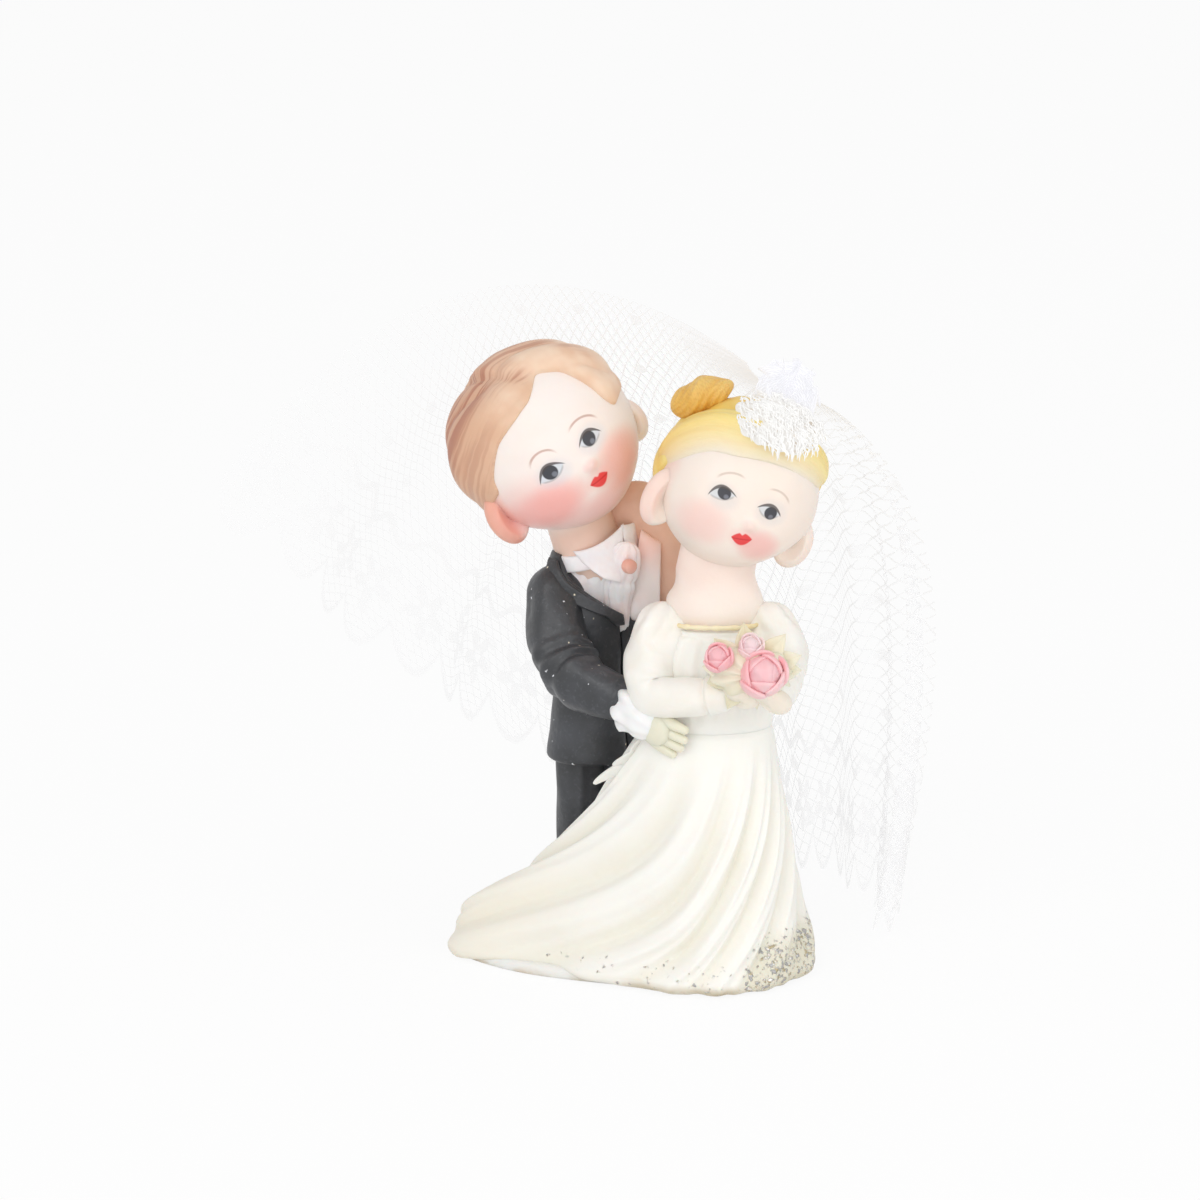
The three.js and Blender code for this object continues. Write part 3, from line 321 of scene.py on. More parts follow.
def gownOutline(angle, h):
    spreading = (1 - h) ** 1.05
    drawn = np.maximum(0, -np.cos(angle)) ** 3 * gown["train"]
    drawn = drawn * (1 - h ** 10) / (1 + (h * gown["height"] / gown["trainHeight"]) ** 2.4)
    x = gown["x"] + lerp(gown["waistWide"], gown["hemWide"], spreading) * np.cos(angle) - drawn
    y = gown["y"] + lerp(gown["waistDeep"], gown["hemDeep"], spreading) * np.sin(angle) + 0.2 * drawn
    return x, y


def foldSwing(h):
    return math.radians(gown["twist"]) * (1 - h) ** 1.5


# crests are broad and valleys narrow; the column is the angle at which a fold leaves the waist
def gownPoint(column, h, fine=1.0):
    angle = column - foldSwing(h)
    x, y = gownOutline(angle, h)
    out = unit(stack(x - gown["x"], y - gown["y"], 0 * x))
    phase = gown["folds"] * column + 0.9 * np.sin(2 * column + 0.6) + 0.6 * np.sin(3 * column + 2)
    crest = (0.5 + 0.5 * np.cos(phase)) ** 0.75
    grown = ease(1 - h, 0, 0.7) * lerp(0.35, 1, ease(h, 0, 0.15))
    deep = 0.75 + 0.25 * np.sin(2 * column + 4) + 0.55 * np.maximum(0, -np.cos(angle))
    push = gown["depth"] * deep * grown * (crest - 0.7)
    small = np.cos(2 * phase + 1.3 + 3 * h) * 0.6 + np.cos(3 * phase - 5 * h) * 0.4
    push = push + fine * gown["fineFolds"] * small * grown * ease(crest, 0.15, 0.7)
    low = 1 - ease(h, 0, 0.22)
    edge = gown["flip"] * near(angle, gown["flipAt"], 26)
    edge = edge - gown["notch"] * near(angle, gown["notchAt"], 9)
    push = push + edge * low - fine * 0.2 * ease(h, 0.965, 1) ** 2
    return stack(x, y, gown["foot"] + gown["height"] * h + 0 * x) + out * push[..., None], crest


def gownSide(degrees, h):  # a point on the gown without its small folds
    return gownPoint(np.radians(degrees) + foldSwing(np.array(h)), np.array(h), 0.0)[0]


# ivory paint, with a darker yellow in the fold valleys that is partly the cream paint there and partly
# painted shade; glitter along the hem and thick on one corner, a darker brown band along the foot
def gownMaterial():
    wire = newMaterial("gownPaint", resinFixed)
    valley, height, corner = wire.mark("valley"), wire.mark("height"), wire.mark("corner")
    broad, fine = wire.noise(160, 4), wire.noise(1500, 3)
    side = wire.place().parts()[0]
    # the fold valleys take the darker yellow as painted shade, with random mottling besides
    tint = (valley * 0.6 + broad.step(0.5, 0.8) * 0.2) * (0.7 + 0.5 * fine)
    onTrain = side.step(0.0, -0.016) * 0.6
    colour = onTrain.blend(tint.blend(gown["cream"], gown["hollow"]), gown["trainCream"])
    # darker brown towards the foot of the hem
    lowBand = height.step(0.012, -0.03) * (0.25 + broad.step(0.4, 0.65) * 0.75)
    lowBand = lowBand * (0.3 + 0.7 * side.step(-0.02, -0.008))
    colour = (lowBand.least(1.0) * 0.8).blend(colour, gown["rim"])
    dense = (corner - height + (broad - 0.5) * 0.06).step(-0.05, 0.06) * corner.step(0.01, 0.08)
    colour = (dense * (0.4 + 0.55 * broad)).blend(colour, gown["sand"])
    patch = wire.noise(420, 2).step(0.42, 0.6)
    reach = height.step(0.11, 0.02) * 0.25 * side.step(-0.012, -0.002) * patch
    reach = reach.most(dense * (0.7 + 0.4 * patch))
    speckle, kind, glint = wire.noise(2000, 2), wire.noise(1400, 1), wire.noise(1700, 0)
    fleck = (speckle + reach * 0.18).step(0.64, 0.80) * reach.step(0.01, 0.06)
    warm = kind.step(0.48, 0.56).blend(gown["gold"], gown["glint"])
    glitter = glint.step(0.5, 0.58).blend(gown["silver"], warm)
    return wire.feed(colour=fleck.blend(colour, glitter), rough=0.46 - fleck * 0.2 + fine * 0.1,
                     metal=fleck * 0.4, normal=wire.relief(fine * 0.6 + broad + fleck * 2, 0.00007))


gownRows, gownCols = 150, 481
h, share = spread(gownRows, gownCols)
points, crest = gownPoint(share * turn, h)
skirtAngle = wrapped(share * turn - foldSwing(h))
discShare = np.linspace(0, 1, 6)[:, None, None]
topDisc = lerp(points[-1:], points[-1:].mean(1, keepdims=True), discShare)
# the hem hangs on over the edge of the base, except where the base shows under the start of the train
drop = np.linspace(1, 0, 9)[:-1, None]
hang = gown["hemDrop"] * (1 - 0.9 * near(skirtAngle[:1], gown["baseShows"], 13))
hang = hang * (0.95 + 0.05 * np.sin(23 * skirtAngle[:1]))
inwards = unit(points[:1] * [1, 1, 0] - [gown["x"], gown["y"], 0]) * (0.45 * drop ** 3)[..., None]
hemRows = points[:1] - inwards - stack(0, 0, hang * drop)
footDisc = lerp(hemRows[:1].mean(1, keepdims=True), hemRows[:1], discShare)
flatRow = np.zeros((6, gownCols))
skirt = np.concatenate([footDisc[:-1], hemRows, points, topDisc[1:]])
inFolds = (1 - crest) ** 1.5 * ease(1 - h, 0.03, 0.4)
valleys = np.concatenate([flatRow[:-1], np.zeros((8, gownCols)), inFolds, flatRow[1:]])
heights = np.concatenate([flatRow[:-1] - 0.04, -0.04 * drop + 0 * share, h + 0 * share, flatRow[1:] + 1])
# the glittered corner: how high it reaches, eased in and out between angles round the skirt
glitterFrom, glitterTo = np.radians(gown["glitterFrom"]), np.radians(gown["glitterTo"])
cornerShare = gown["glitterTop"] * ease(skirtAngle, *glitterFrom) * (1 - ease(skirtAngle, *glitterTo))
corners = np.concatenate([flatRow[:-1], 0 * drop + cornerShare[:1], cornerShare, flatRow[1:]])
addPiece("gownSkirt", [skirt], gownMaterial(),
         {"valley": [valleys], "height": [heights], "corner": [corners]})
print("gown ready")


# base: a thin plate with a rounded edge, as far out as the gown's hem or the pad under the groom
base = {"thickness": 1.2, "inset": 0.2, "tuck": 1.3, "padX": -1.6, "padY": 6.0, "padWide": 9.5,
        "padDeep": 7.5, "white": (0.84, 0.83, 0.80), "rim": (0.62, 0.52, 0.38)}


# the outline is found by direction from the origin: the further of the two outlines there
def baseReach(angle):
    around = np.linspace(0, turn, 1441)
    x, y = gownOutline(around, np.zeros(1441))
    out = unit(np.stack([x - gown["x"], y - gown["y"]], -1))
    tuck = lerp(base["tuck"], base["inset"], near(around, gown["baseShows"], 14))
    x, y = x - out[:, 0] * tuck, y - out[:, 1] * tuck
    px = base["padX"] + base["padWide"] * np.cos(around)
    py = base["padY"] + base["padDeep"] * np.sin(around)
    reach = np.zeros(np.shape(angle))
    for ax, ay in ((x, y), (px, py)):
        heading = np.mod(np.arctan2(ay, ax), turn)
        order = np.argsort(heading)
        far = np.interp(np.mod(angle, turn), heading[order], np.hypot(ax, ay)[order], period=turn)
        reach = np.maximum(reach, far)
    return reach


def baseMaterial():
    wire = newMaterial("basePaint", resinFixed)
    z = wire.place().parts()[2]
    broad, fine = wire.noise(240, 3), wire.noise(1300, 2)
    # darker brown towards the bottom edge
    lowBand = z.step(0.0011, 0.0003) * broad.step(0.35, 0.6)
    return wire.feed(colour=(lowBand * 0.7).blend(base["white"], base["rim"]), rough=0.45 + fine * 0.15,
                     normal=wire.relief(fine + broad, 0.00006))


edge = 0.5 * base["thickness"]
edgeTurn = np.linspace(-math.pi / 2, math.pi / 2, 13)
inward = np.concatenate([np.linspace(0.0, 0.9, 5), np.ones(13), np.linspace(0.9, 0.0, 5)])[:, None]
pull = np.concatenate([np.full(5, edge), edge * (1 - np.cos(edgeTurn)), np.full(5, edge)])[:, None]
lift = np.concatenate([np.zeros(5), edge + edge * np.sin(edgeTurn), np.full(5, base["thickness"])])[:, None]
plateAngle = np.linspace(0, turn, 361)[None, :]
plateReach = (baseReach(plateAngle) - pull) * inward
addPiece("basePlate", [stack(plateReach * np.cos(plateAngle), plateReach * np.sin(plateAngle), lift)],
         baseMaterial())
print("base ready")


# bride: where the shoulders and the head are, as in the model
bride = {"bodiceFoot": 25.8, "bodiceHeight": 11.4, "shoulderX": 8.5, "shoulderY": -4.6, "headRadius": 8.4,
         "neckLength": 3.6, "neckRadius": 3.0, "leanSide": 12.5, "leanBack": 6.5, "yaw": 5, "pitch": -4,
         "roll": -24, "bustWide": 6.5, "bustDeep": 4.6, "shoulderWide": 4.7, "dip": 1.3, "sideDip": 1.5,
         "chest": (0.93, 0.83, 0.755), "chestShade": (0.90, 0.70, 0.62)}
shoulderZ = bride["bodiceFoot"] + bride["bodiceHeight"]
shoulderLine = np.array([bride["shoulderX"], bride["shoulderY"], shoulderZ])
brideLean = leaning(bride["leanSide"], bride["leanBack"])
brideCentre = shoulderLine + brideLean * (bride["neckLength"] + bride["headRadius"])


# rows of a head's frame: to the right of whoever looks at the face, to the crown, out of the face
def headAxes(yaw, pitch, roll):
    yaw, pitch, roll = math.radians(yaw), math.radians(pitch), math.radians(roll)
    out = np.array([math.sin(yaw) * math.cos(pitch), -math.cos(yaw) * math.cos(pitch), math.sin(pitch)])
    level = np.array([math.cos(yaw), math.sin(yaw), 0])
    right = level * math.cos(roll) + np.cross(out, level) * math.sin(roll)
    return np.array([right, np.cross(out, right), out])


brideAxes = headAxes(bride["yaw"], bride["pitch"], bride["roll"])


def bustPoint(t, angle):
    foot = shoulderZ - 0.35 * bride["bodiceHeight"]
    top = shoulderLine + brideLean * (bride["neckLength"] + 0.45 * bride["headRadius"])
    neck = [(0.7, bride["neckRadius"]), (1, bride["neckRadius"])]
    wide = profile([(0, 0.8 * bride["shoulderWide"]), (0.35, bride["shoulderWide"])] + neck, t)
    deep = profile([(0, 0.6 * bride["bustDeep"]), (0.35, 0.75 * bride["bustDeep"])] + neck, t)
    z = lerp(foot, top[2], t)
    rise = np.clip((z - shoulderZ) / (top[2] - shoulderZ), 0, 1)
    x, y = lerp(shoulderLine[0], top[0], rise), lerp(shoulderLine[1], top[1], rise)
    # fuller towards the groom, whose cheek the neck meets
    full = profile([(0.3, 0), (0.5, 0.9), (0.72, 1.9), (1, 1.9)], t) * np.maximum(0, -np.cos(angle)) ** 1.5
    return stack(x + wide * np.cos(angle) - full, y + deep * np.sin(angle), z)


def closed(surface, rows, cols):  # a lofted surface over t and angle, closed by a disc at each end
    t, share = spread(rows, cols)
    grid = surface(t, share * turn)
    fade = np.linspace(0, 1, 5)[:, None, None]
    foot, top = grid[:1].mean(1, keepdims=True), grid[-1:].mean(1, keepdims=True)
    return np.concatenate([lerp(foot, grid[:1], fade)[:-1], grid, lerp(grid[-1:], top, fade)[1:]])


# pale resin skin with random mottling, blended half way to a second colour high up: on the bride's neck a
# pinker painted shade under the chin, on the groom's band its pink top
def skinMaterial(name, colour, shade):
    wire = newMaterial(name, resinFixed)
    broad, fine = wire.noise(190, 3), wire.noise(1700, 2)
    under = wire.place().parts()[2].step(0.0375, 0.0415) * 0.5 + broad.step(0.45, 0.75) * 0.25
    return wire.feed(colour=under.blend(colour, shade), rough=0.36 + fine * 0.14,
                     normal=wire.relief(fine * 0.6 + broad, 0.00005))


addPiece("brideBust", [closed(bustPoint, 60, 97)],
         skinMaterial("brideChest", bride["chest"], bride["chestShade"]))


# bodice: fuller at the bust, a neckline worn low on the shoulders, soft pleats pressed in below it
def bodicePoint(t, angle):
    front = np.maximum(0, -np.sin(angle))
    wide = profile([(0, gown["waistWide"] - 0.12), (0.6, bride["bustWide"]),
                    (1, bride["shoulderWide"] + 0.2)], t)
    deep = profile([(0, gown["waistDeep"] - 0.12), (0.62, bride["bustDeep"]),
                    (1, 0.88 * bride["bustDeep"])], t)
    swell = 0.5 * bell(t - 0.62, 0.22) * front ** 2 * np.abs(np.cos(angle))
    pleat = 0.10 * np.cos(26 * angle) * ease(t, 0.02, 0.3) * (1 - ease(t, 0.75, 0.98))
    waistRoll = 0.1 * bell(t - 0.05, 0.05)
    drop = lerp(bride["dip"], bride["sideDip"], np.cos(angle) ** 2) * ease(t, 0.8, 1)
    push = swell + pleat + waistRoll
    return stack(lerp(gown["x"], bride["shoulderX"], t) + (wide + push) * np.cos(angle),
                 lerp(gown["y"], bride["shoulderY"], t) + (deep + push) * np.sin(angle),
                 lerp(bride["bodiceFoot"] - 0.5, shoulderZ - 0.3, t) - drop)


creamPaint = paintedResin("creamPaint")
addPiece("brideBodice", [closed(bodicePoint, 80, 241)], creamPaint)

# neckline trim: a thin uneven bead of gold paint around the top of the bodice
trim = {"radius": 0.24, "lift": 0.55}
around = np.linspace(0, turn, 241)
neckline = bodicePoint(np.array([[1.0]]), around[None, :])[0] + [0, 0, trim["lift"]]
out = unit(np.stack([np.cos(around), np.sin(around), 0 * around], -1))
bead = np.linspace(0, turn, 25)[None, :]
thick = trim["radius"] * (1 + 0.14 * np.sin(19 * around) + 0.1 * np.sin(31 * around + 1))[:, None]
trimGrid = swept(neckline, out, np.array([0, 0, 1.0]), thick * np.cos(bead), thick * np.sin(bead))
goldPaint = paintedResin("goldTrim")
addPiece("necklineTrim", [trimGrid], goldPaint)

# waist frill: a ragged flap of white cloth on the edge of the skirt, wider and jagged towards its foot
frill = {"wide": 3.0, "thickness": 0.34, "points": 3, "angles": (198, 189), "heights": (0.96, 0.77)}
frillPaint = paintedResin("frillPaint")


def frillPoint(u, v):
    edge = gownSide(lerp(*frill["angles"], v), lerp(*frill["heights"], v))
    jag = 0.75 + 0.45 * np.abs(np.sin(math.pi * frill["points"] * v)) ** 0.7
    reach = lerp(0.5, frill["wide"], v ** 1.3) * jag * u - 0.35
    curl = 0.3 * np.sin(9 * v + 2.5 * u) * u
    return edge + stack(-0.93 * reach, -0.2 * reach + curl - 0.2, -0.3 * reach)


addPiece("waistFrill", slab(frillPoint, 81, 25, frill["thickness"], 0.15), frillPaint)
print("bride's dress ready")


# heads: round skulls with full low cheeks; the face is painted on, placed in the head's own frame
skullShape = np.array([0.99, 0.96, 0.95])


def hill(d, at, wide):  # soft hill on the unit sphere
    return np.exp(-((d - unit(at)) ** 2).sum(-1) / wide ** 2)


def skullPoint(d, radius, face=None, trim=0.0):
    swell = 1 + 0.055 * (hill(d, (-0.55, -0.42, 0.72), 0.42) + hill(d, (0.55, -0.42, 0.72), 0.42))
    swell = swell + 0.03 * hill(d, (0, -0.62, 0.78), 0.22) - trim * hill(d, (0.93, 0.25, 0.0), 0.62)
    if face:
        swell = swell + face["jaw"] * hill(d, (0, -0.8, 0.6), 0.55)
        swell = swell - face["slim"] * hill(d, (0.7, -0.6, 0.4), 0.45)
        swell = swell + 0.045 * hill(d, face["nose"], 0.085) + 0.014 * hill(d, face["nose"], 0.2)
        swell = swell + 0.016 * hill(d, face["mouth"], 0.1) - 0.012 * hill(d, face["dip"], 0.07)
        swell = swell - 0.016 * (hill(d, face["eyes"][0]["at"], 0.17) + hill(d, face["eyes"][1]["at"], 0.17))
        swell = swell + 0.012 * (hill(d, face["brows"][0], 0.16) + hill(d, face["brows"][1], 0.16))
    return d * skullShape * radius * swell[..., None]


def toWorld(local, axes, centre):
    return local @ axes + centre


def sphereGrid(rows, cols):  # unit directions with poles at the crown and under the chin
    down, round_ = spread(rows, cols)
    down, round_ = down * math.pi, round_ * turn
    return stack(np.sin(down) * np.sin(round_), np.cos(down), np.sin(down) * np.cos(round_))


# ear: a flattened ball turned out from the head, its front pressed in to a bowl with a raised rim
def earGrid(radius, size, seat):
    side = math.copysign(1, seat[0])
    d = sphereGrid(41, 65)
    rho = np.hypot(d[..., 0], d[..., 1])
    front = ease(d[..., 2], -0.1, 0.5)
    lobe = bell(np.hypot(d[..., 0] + 0.15 * side, d[..., 1] + 0.1), 0.22)
    bowl = front * (0.62 * bell(rho, 0.5) - 0.16 * bell(rho - 0.78, 0.16) + 0.18 * lobe)
    local = stack(0.78 * d[..., 0], 1.08 * d[..., 1], 0.46 * d[..., 2] - 0.46 * bowl) * size
    a = math.radians(-28 * side)
    turned = np.array([[math.cos(a), 0, -math.sin(a)], [0, 1, 0], [math.sin(a), 0, math.cos(a)]])
    return local @ turned + np.array(seat) * radius


# painted face: blush, eyes with lids and lashes, thin brows and small red lips, drawn with masks
def faceMaterial(name, centre, axes, radius, face):
    wire = newMaterial(name, resinFixed)
    euler = Matrix(axes.T.tolist()).to_euler()
    local = wire.node("ShaderNodeMapping", {"vector_type": "TEXTURE"},
                      {"Vector": wire.place(), "Location": tuple(centre * mm), "Rotation": tuple(euler),
                       "Scale": tuple(skullShape * radius * mm)})
    x, y, z = local.parts()
    broad, fine = wire.noise(170, 3), wire.noise(1900, 2)
    colour = (broad.step(0.4, 0.75) * 0.35).blend(face["skin"], face["shade"])
    front = z.step(0.05, 0.25)

    def spot(cx, cy, wide, tall):  # soft round mask, 1 in its middle
        ux, uy = (x - cx) * (1 / wide), (y - cy) * (1 / tall)
        return (ux * ux + uy * uy).step(1.0, 0.0) * front

    def tilted(at, angle):  # coordinates from a point, along an angle and square to it
        dx, dy = x - at[0], y - at[1]
        return (dx * math.cos(angle) + dy * math.sin(angle), dy * math.cos(angle) - dx * math.sin(angle))

    earShare = lerp(face["earShare"][0], face["earShare"][1], x.step(-0.1, 0.1))
    ears = x.size().step(0.86, 0.99) * y.step(0.35, 0.1) * earShare
    colour = (ears * (0.45 + 0.5 * broad)).blend(colour, face["earTint"])
    # painted shade on the neck below the chin
    colour = (y.step(-0.72, -1.0) * (0.6 + 0.4 * broad) * face["neckShadeShare"]).blend(colour, face["neckShade"])
    for cx, cy, wide, tall, strength in face["blush"]:
        rosy = spot(cx, cy, wide, tall) * (strength * (0.75 + 0.5 * broad))
        colour = rosy.blend(colour, face["blushTint"])
    for eye in face["eyes"]:
        cx, cy = eye["at"][:2]
        ex, ey = tilted((cx, cy), math.radians(eye["tilt"]))
        bow = 1 - ex * ex * (1 / eye["wide"] ** 2)
        above, below = ey - bow * eye["up"], ey + bow * eye["down"]
        inside = above.step(0.012, -0.012) * below.step(-0.014, 0.014) * front
        # painted grey-blue shade round the eye
        colour = (spot(cx + 0.02, cy - 0.01, 0.25, 0.21) * 0.42).blend(colour, face["eyeShade"])
        colour = (inside * 0.9).blend(colour, face["eyeWhite"])
        ix = (ex - eye["iris"][0]) * (1 / eye["iris"][2])
        iy = (ey - eye["iris"][1]) * (1 / eye["iris"][3])
        ball = ix * ix + iy * iy
        irisMask = ball.step(1.15, 0.8) * above.step(0.012, -0.008) * front
        colour = (irisMask * 0.97).blend(colour, face["iris"])
        glow = ((ix - 0.25) * (ix - 0.25) + (iy + 0.55) * (iy + 0.55)).step(0.22, 0.03) * irisMask
        colour = (glow * 0.5).blend(colour, face["irisGlow"])
        lidThick = 0.010 + bow.most(0.0) * eye["lid"]
        lidRun = ex.size().step(eye["wide"] * 1.12, eye["wide"] * 0.95)
        lid = (above.size() / lidThick).step(1.15, 0.55) * lidRun * front
        colour = (lid * 0.88).blend(colour, face["lash"])
        lower = below.size().step(0.02, 0.004) * bow.step(0.05, 0.5) * front
        colour = (lower * 0.3).blend(colour, face["lash"])
    for x0, y0, x1, y1, x2, y2 in face["browArcs"]:
        # circle through three points
        d = 2 * (x0 * (y1 - y2) + x1 * (y2 - y0) + x2 * (y0 - y1))
        s0, s1, s2 = x0 * x0 + y0 * y0, x1 * x1 + y1 * y1, x2 * x2 + y2 * y2
        cx = (s0 * (y1 - y2) + s1 * (y2 - y0) + s2 * (y0 - y1)) / d
        cy = (s0 * (x2 - x1) + s1 * (x0 - x2) + s2 * (x1 - x0)) / d
        reach = math.hypot(x0 - cx, y0 - cy)
        far = ((x - cx) * (x - cx) + (y - cy) * (y - cy)) ** 0.5
        chord = math.hypot(x2 - x0, y2 - y0)
        along, side = tilted((x0, y0), math.atan2(y2 - y0, x2 - x0))
        along = along * (1 / chord)
        brow = (far - reach).size().step(0.019, 0.004) * along.step(-0.05, 0.2) * along.step(1.05, 0.8)
        colour = (brow * side.step(-0.03, 0.0) * front * face["browStrength"]).blend(colour, face["brow"])
    lips = face["lips"]
    lx, ly = tilted(lips["at"], math.radians(lips["tilt"]))
    bow = 1 - lx * lx * (1 / lips["wide"] ** 2)
    notch = 1 - 0.42 * (lx.size() * (1 / (0.32 * lips["wide"]))).step(1.0, 0.0)
    underBow = (ly - bow * notch * lips["up"]).step(0.014, -0.010)
    mouth = underBow * (ly + bow * lips["down"]).step(-0.014, 0.010) * front
    colour = (spot(lips["at"][0], lips["at"][1], 0.2, 0.17) * 0.3).blend(colour, face["blushTint"])
    colour = (mouth * 0.96).blend(colour, face["red"])
    parting = (ly + 0.012).size().step(0.014, 0.003) * mouth
    colour = (parting * 0.5).blend(colour, face["redDeep"])
    return wire.feed(colour=colour, rough=0.38 + fine * 0.12 - mouth * 0.14,
                     normal=wire.relief(fine * 0.5 + broad, 0.00005))


brideFace = {"nose": (0.03, -0.14, 1), "mouth": (0.03, -0.35, 0.94), "dip": (0.03, -0.24, 0.97),
             "brows": [(-0.40, 0.27, 0.87), (0.2, 0.27, 0.94)], "jaw": 0.0, "slim": 0.14, "trim": 0.11,
             "ears": [(2.9, (-0.88, -0.4, 0.18)), (2.5, (0.78, -0.32, 0.16))],
             "earShare": (0.7, 0.35), "neckShade": (0.90, 0.72, 0.62), "neckShadeShare": 0.5,
             "skin": (0.935, 0.825, 0.745), "shade": (0.90, 0.745, 0.63), "earTint": (0.92, 0.58, 0.50),
             "blushTint": (0.92, 0.44, 0.41), "eyeShade": (0.66, 0.64, 0.64), "eyeWhite": (0.70, 0.71, 0.73),
             "iris": (0.042, 0.042, 0.052), "irisGlow": (0.30, 0.31, 0.36), "lash": (0.085, 0.07, 0.065),
             "brow": (0.55, 0.42, 0.34), "browStrength": 0.55,
             "red": (0.80, 0.045, 0.05), "redDeep": (0.50, 0.012, 0.016),
             "blush": [(-0.46, -0.36, 0.40, 0.36, 0.36), (0.25, -0.37, 0.32, 0.28, 0.66),
                       (0.02, -0.15, 0.12, 0.1, 0.2)],
             "eyes": [{"at": (-0.408, 0.058, 0.9), "tilt": 23, "wide": 0.152, "up": 0.097, "down": 0.055,
                       "iris": (0.024, 0.022, 0.078, 0.080), "lid": 0.016},
                      {"at": (0.171, 0.105, 0.97), "tilt": -2, "wide": 0.146, "up": 0.07, "down": 0.085,
                       "iris": (0.026, -0.018, 0.078, 0.080), "lid": 0.016}],
             "browArcs": [(-0.54, 0.21, -0.415, 0.335, -0.237, 0.351),
                          (0.06, 0.345, 0.22, 0.36, 0.37, 0.26)],
             "lips": {"at": (0.012, -0.335), "tilt": 16, "wide": 0.122, "up": 0.07, "down": 0.095}}
groomFace = {"nose": (0.0, -0.18, 0.98), "mouth": (-0.01, -0.40, 0.91), "dip": (0.0, -0.28, 0.96),
             "brows": [(-0.37, 0.25, 0.88), (0.22, 0.25, 0.93)], "jaw": 0.13, "slim": 0.0, "trim": 0.0,
             "ears": [(2.85, (-0.92, -0.29, 0.22)), (2.45, (0.78, -0.38, 0.3))],
             "earShare": (1.25, 0.3), "neckShade": (0.87, 0.57, 0.44), "neckShadeShare": 0.9,
             "skin": (0.94, 0.845, 0.795), "shade": (0.91, 0.75, 0.67), "earTint": (0.80, 0.36, 0.25),
             "blushTint": (0.92, 0.40, 0.36), "eyeShade": (0.62, 0.66, 0.73), "eyeWhite": (0.70, 0.73, 0.78),
             "iris": (0.036, 0.038, 0.05), "irisGlow": (0.32, 0.35, 0.42), "lash": (0.075, 0.06, 0.06),
             "brow": (0.52, 0.30, 0.24), "browStrength": 0.75,
             "red": (0.80, 0.045, 0.045), "redDeep": (0.50, 0.012, 0.014),
             "blush": [(-0.56, -0.34, 0.5, 0.36, 0.72), (-0.72, -0.34, 0.5, 0.6, 0.4),
                       (0.36, -0.42, 0.44, 0.40, 0.62), (0.0, -0.19, 0.12, 0.1, 0.35),
                       (-0.1, -0.72, 0.6, 0.25, 0.45)],
             "eyes": [{"at": (-0.367, 0.012, 0.93), "tilt": 8, "wide": 0.158, "up": 0.108, "down": 0.07,
                       "iris": (-0.006, 0.022, 0.082, 0.088), "lid": 0.018},
                      {"at": (0.189, 0.035, 0.98), "tilt": -9, "wide": 0.15, "up": 0.092, "down": 0.075,
                       "iris": (-0.008, 0.006, 0.082, 0.088), "lid": 0.018}],
             "browArcs": [(-0.51, 0.20, -0.372, 0.293, -0.19, 0.18),
                          (0.046, 0.262, 0.2, 0.292, 0.413, 0.13)],
             "lips": {"at": (-0.006, -0.395), "tilt": -4, "wide": 0.122, "up": 0.06, "down": 0.095}}

groom = {"x": -2.6, "y": 8.0, "turn": 34, "lean": 2.0, "legTop": 19.6, "hem": 18.4, "height": 22.4,
         "hemWide": 6.0, "hemDeep": 4.7, "waistWide": 5.2, "chestWide": 6.0, "chestDeep": 4.5,
         "collar": 4.4, "cloth": 0.9, "headRadius": 9.2, "neckRadius": 3.2, "neckLength": 3.3,
         "leanSide": 23.5, "leanFront": 5, "yaw": 24, "pitch": 2, "roll": 37}
collarTop = np.array([groom["x"] - 0.5 * groom["lean"], groom["y"] - groom["lean"],
                      groom["hem"] + groom["height"]])
groomLean = leaning(-groom["leanSide"], -groom["leanFront"])
groomCentre = collarTop + groomLean * (groom["neckLength"] + groom["headRadius"])
groomAxes = headAxes(groom["yaw"], groom["pitch"], groom["roll"])


def headGrids(axes, centre, radius, face):
    local = [skullPoint(sphereGrid(141, 261), radius, face, face["trim"])]
    local += [earGrid(radius, size, seat) for size, seat in face["ears"]]
    return [toWorld(g, axes, centre) for g in local]


groomNeck = limb([collarTop - [0, 0, 0.4 * groom["neckRadius"]], lerp(collarTop, groomCentre, 0.5)],
                 [1.15 * groom["neckRadius"], groom["neckRadius"]], rings=20)
for who, axes, centre, radius, face, neck in (
        ("bride", brideAxes, brideCentre, bride["headRadius"], brideFace, []),
        ("groom", groomAxes, groomCentre, groom["headRadius"], groomFace, [groomNeck])):
    addPiece(f"{who}Head", headGrids(axes, centre, radius, face) + neck,
             faceMaterial(f"{who}Face", centre, axes, radius, face))
print("heads ready")


# hair: a cup from a pole behind the crown to the hairline, thick and rounded at its edge, grooved in locks
hairAxes = np.array([(1, 0, 0), np.cross(unit((0, 0.62, -0.78)), (1, 0, 0)), unit((0, 0.62, -0.78))])
hairRows, hairCols = 110, 301


def hairline(edge, angle, soft):  # polar angle of the edge, interpolated and softened round the pole
    d = unit(edge) @ hairAxes.T
    heading, polar = np.mod(np.arctan2(d[:, 1], d[:, 0]), turn), np.arccos(d[:, 2])
    order = np.argsort(heading)
    smooth = sum(np.interp(np.mod(angle + off, turn), heading[order], polar[order], period=turn)
                 for off in np.linspace(-soft, soft, 5))
    return smooth / 5


def hairGrid(radius, edge, thickness, rim, soft, trim=0.0):
    s, share = spread(hairRows, hairCols)
    angle = share * turn
    polar = s * hairline(edge, angle, soft)
    d = stack(np.sin(polar) * np.cos(angle), np.sin(polar) * np.sin(angle), np.cos(polar)) @ hairAxes
    round_ = np.sqrt(np.clip(1 - s ** rim(angle), 0, 1))
    outer = skullPoint(d, radius, None, trim) + d * (0.1 + thickness(d, s, angle) * round_)[..., None]
    inner = skullPoint(d, radius, None, trim) * 0.95
    return [outer, np.concatenate([outer[-1:], inner[::-1]])]
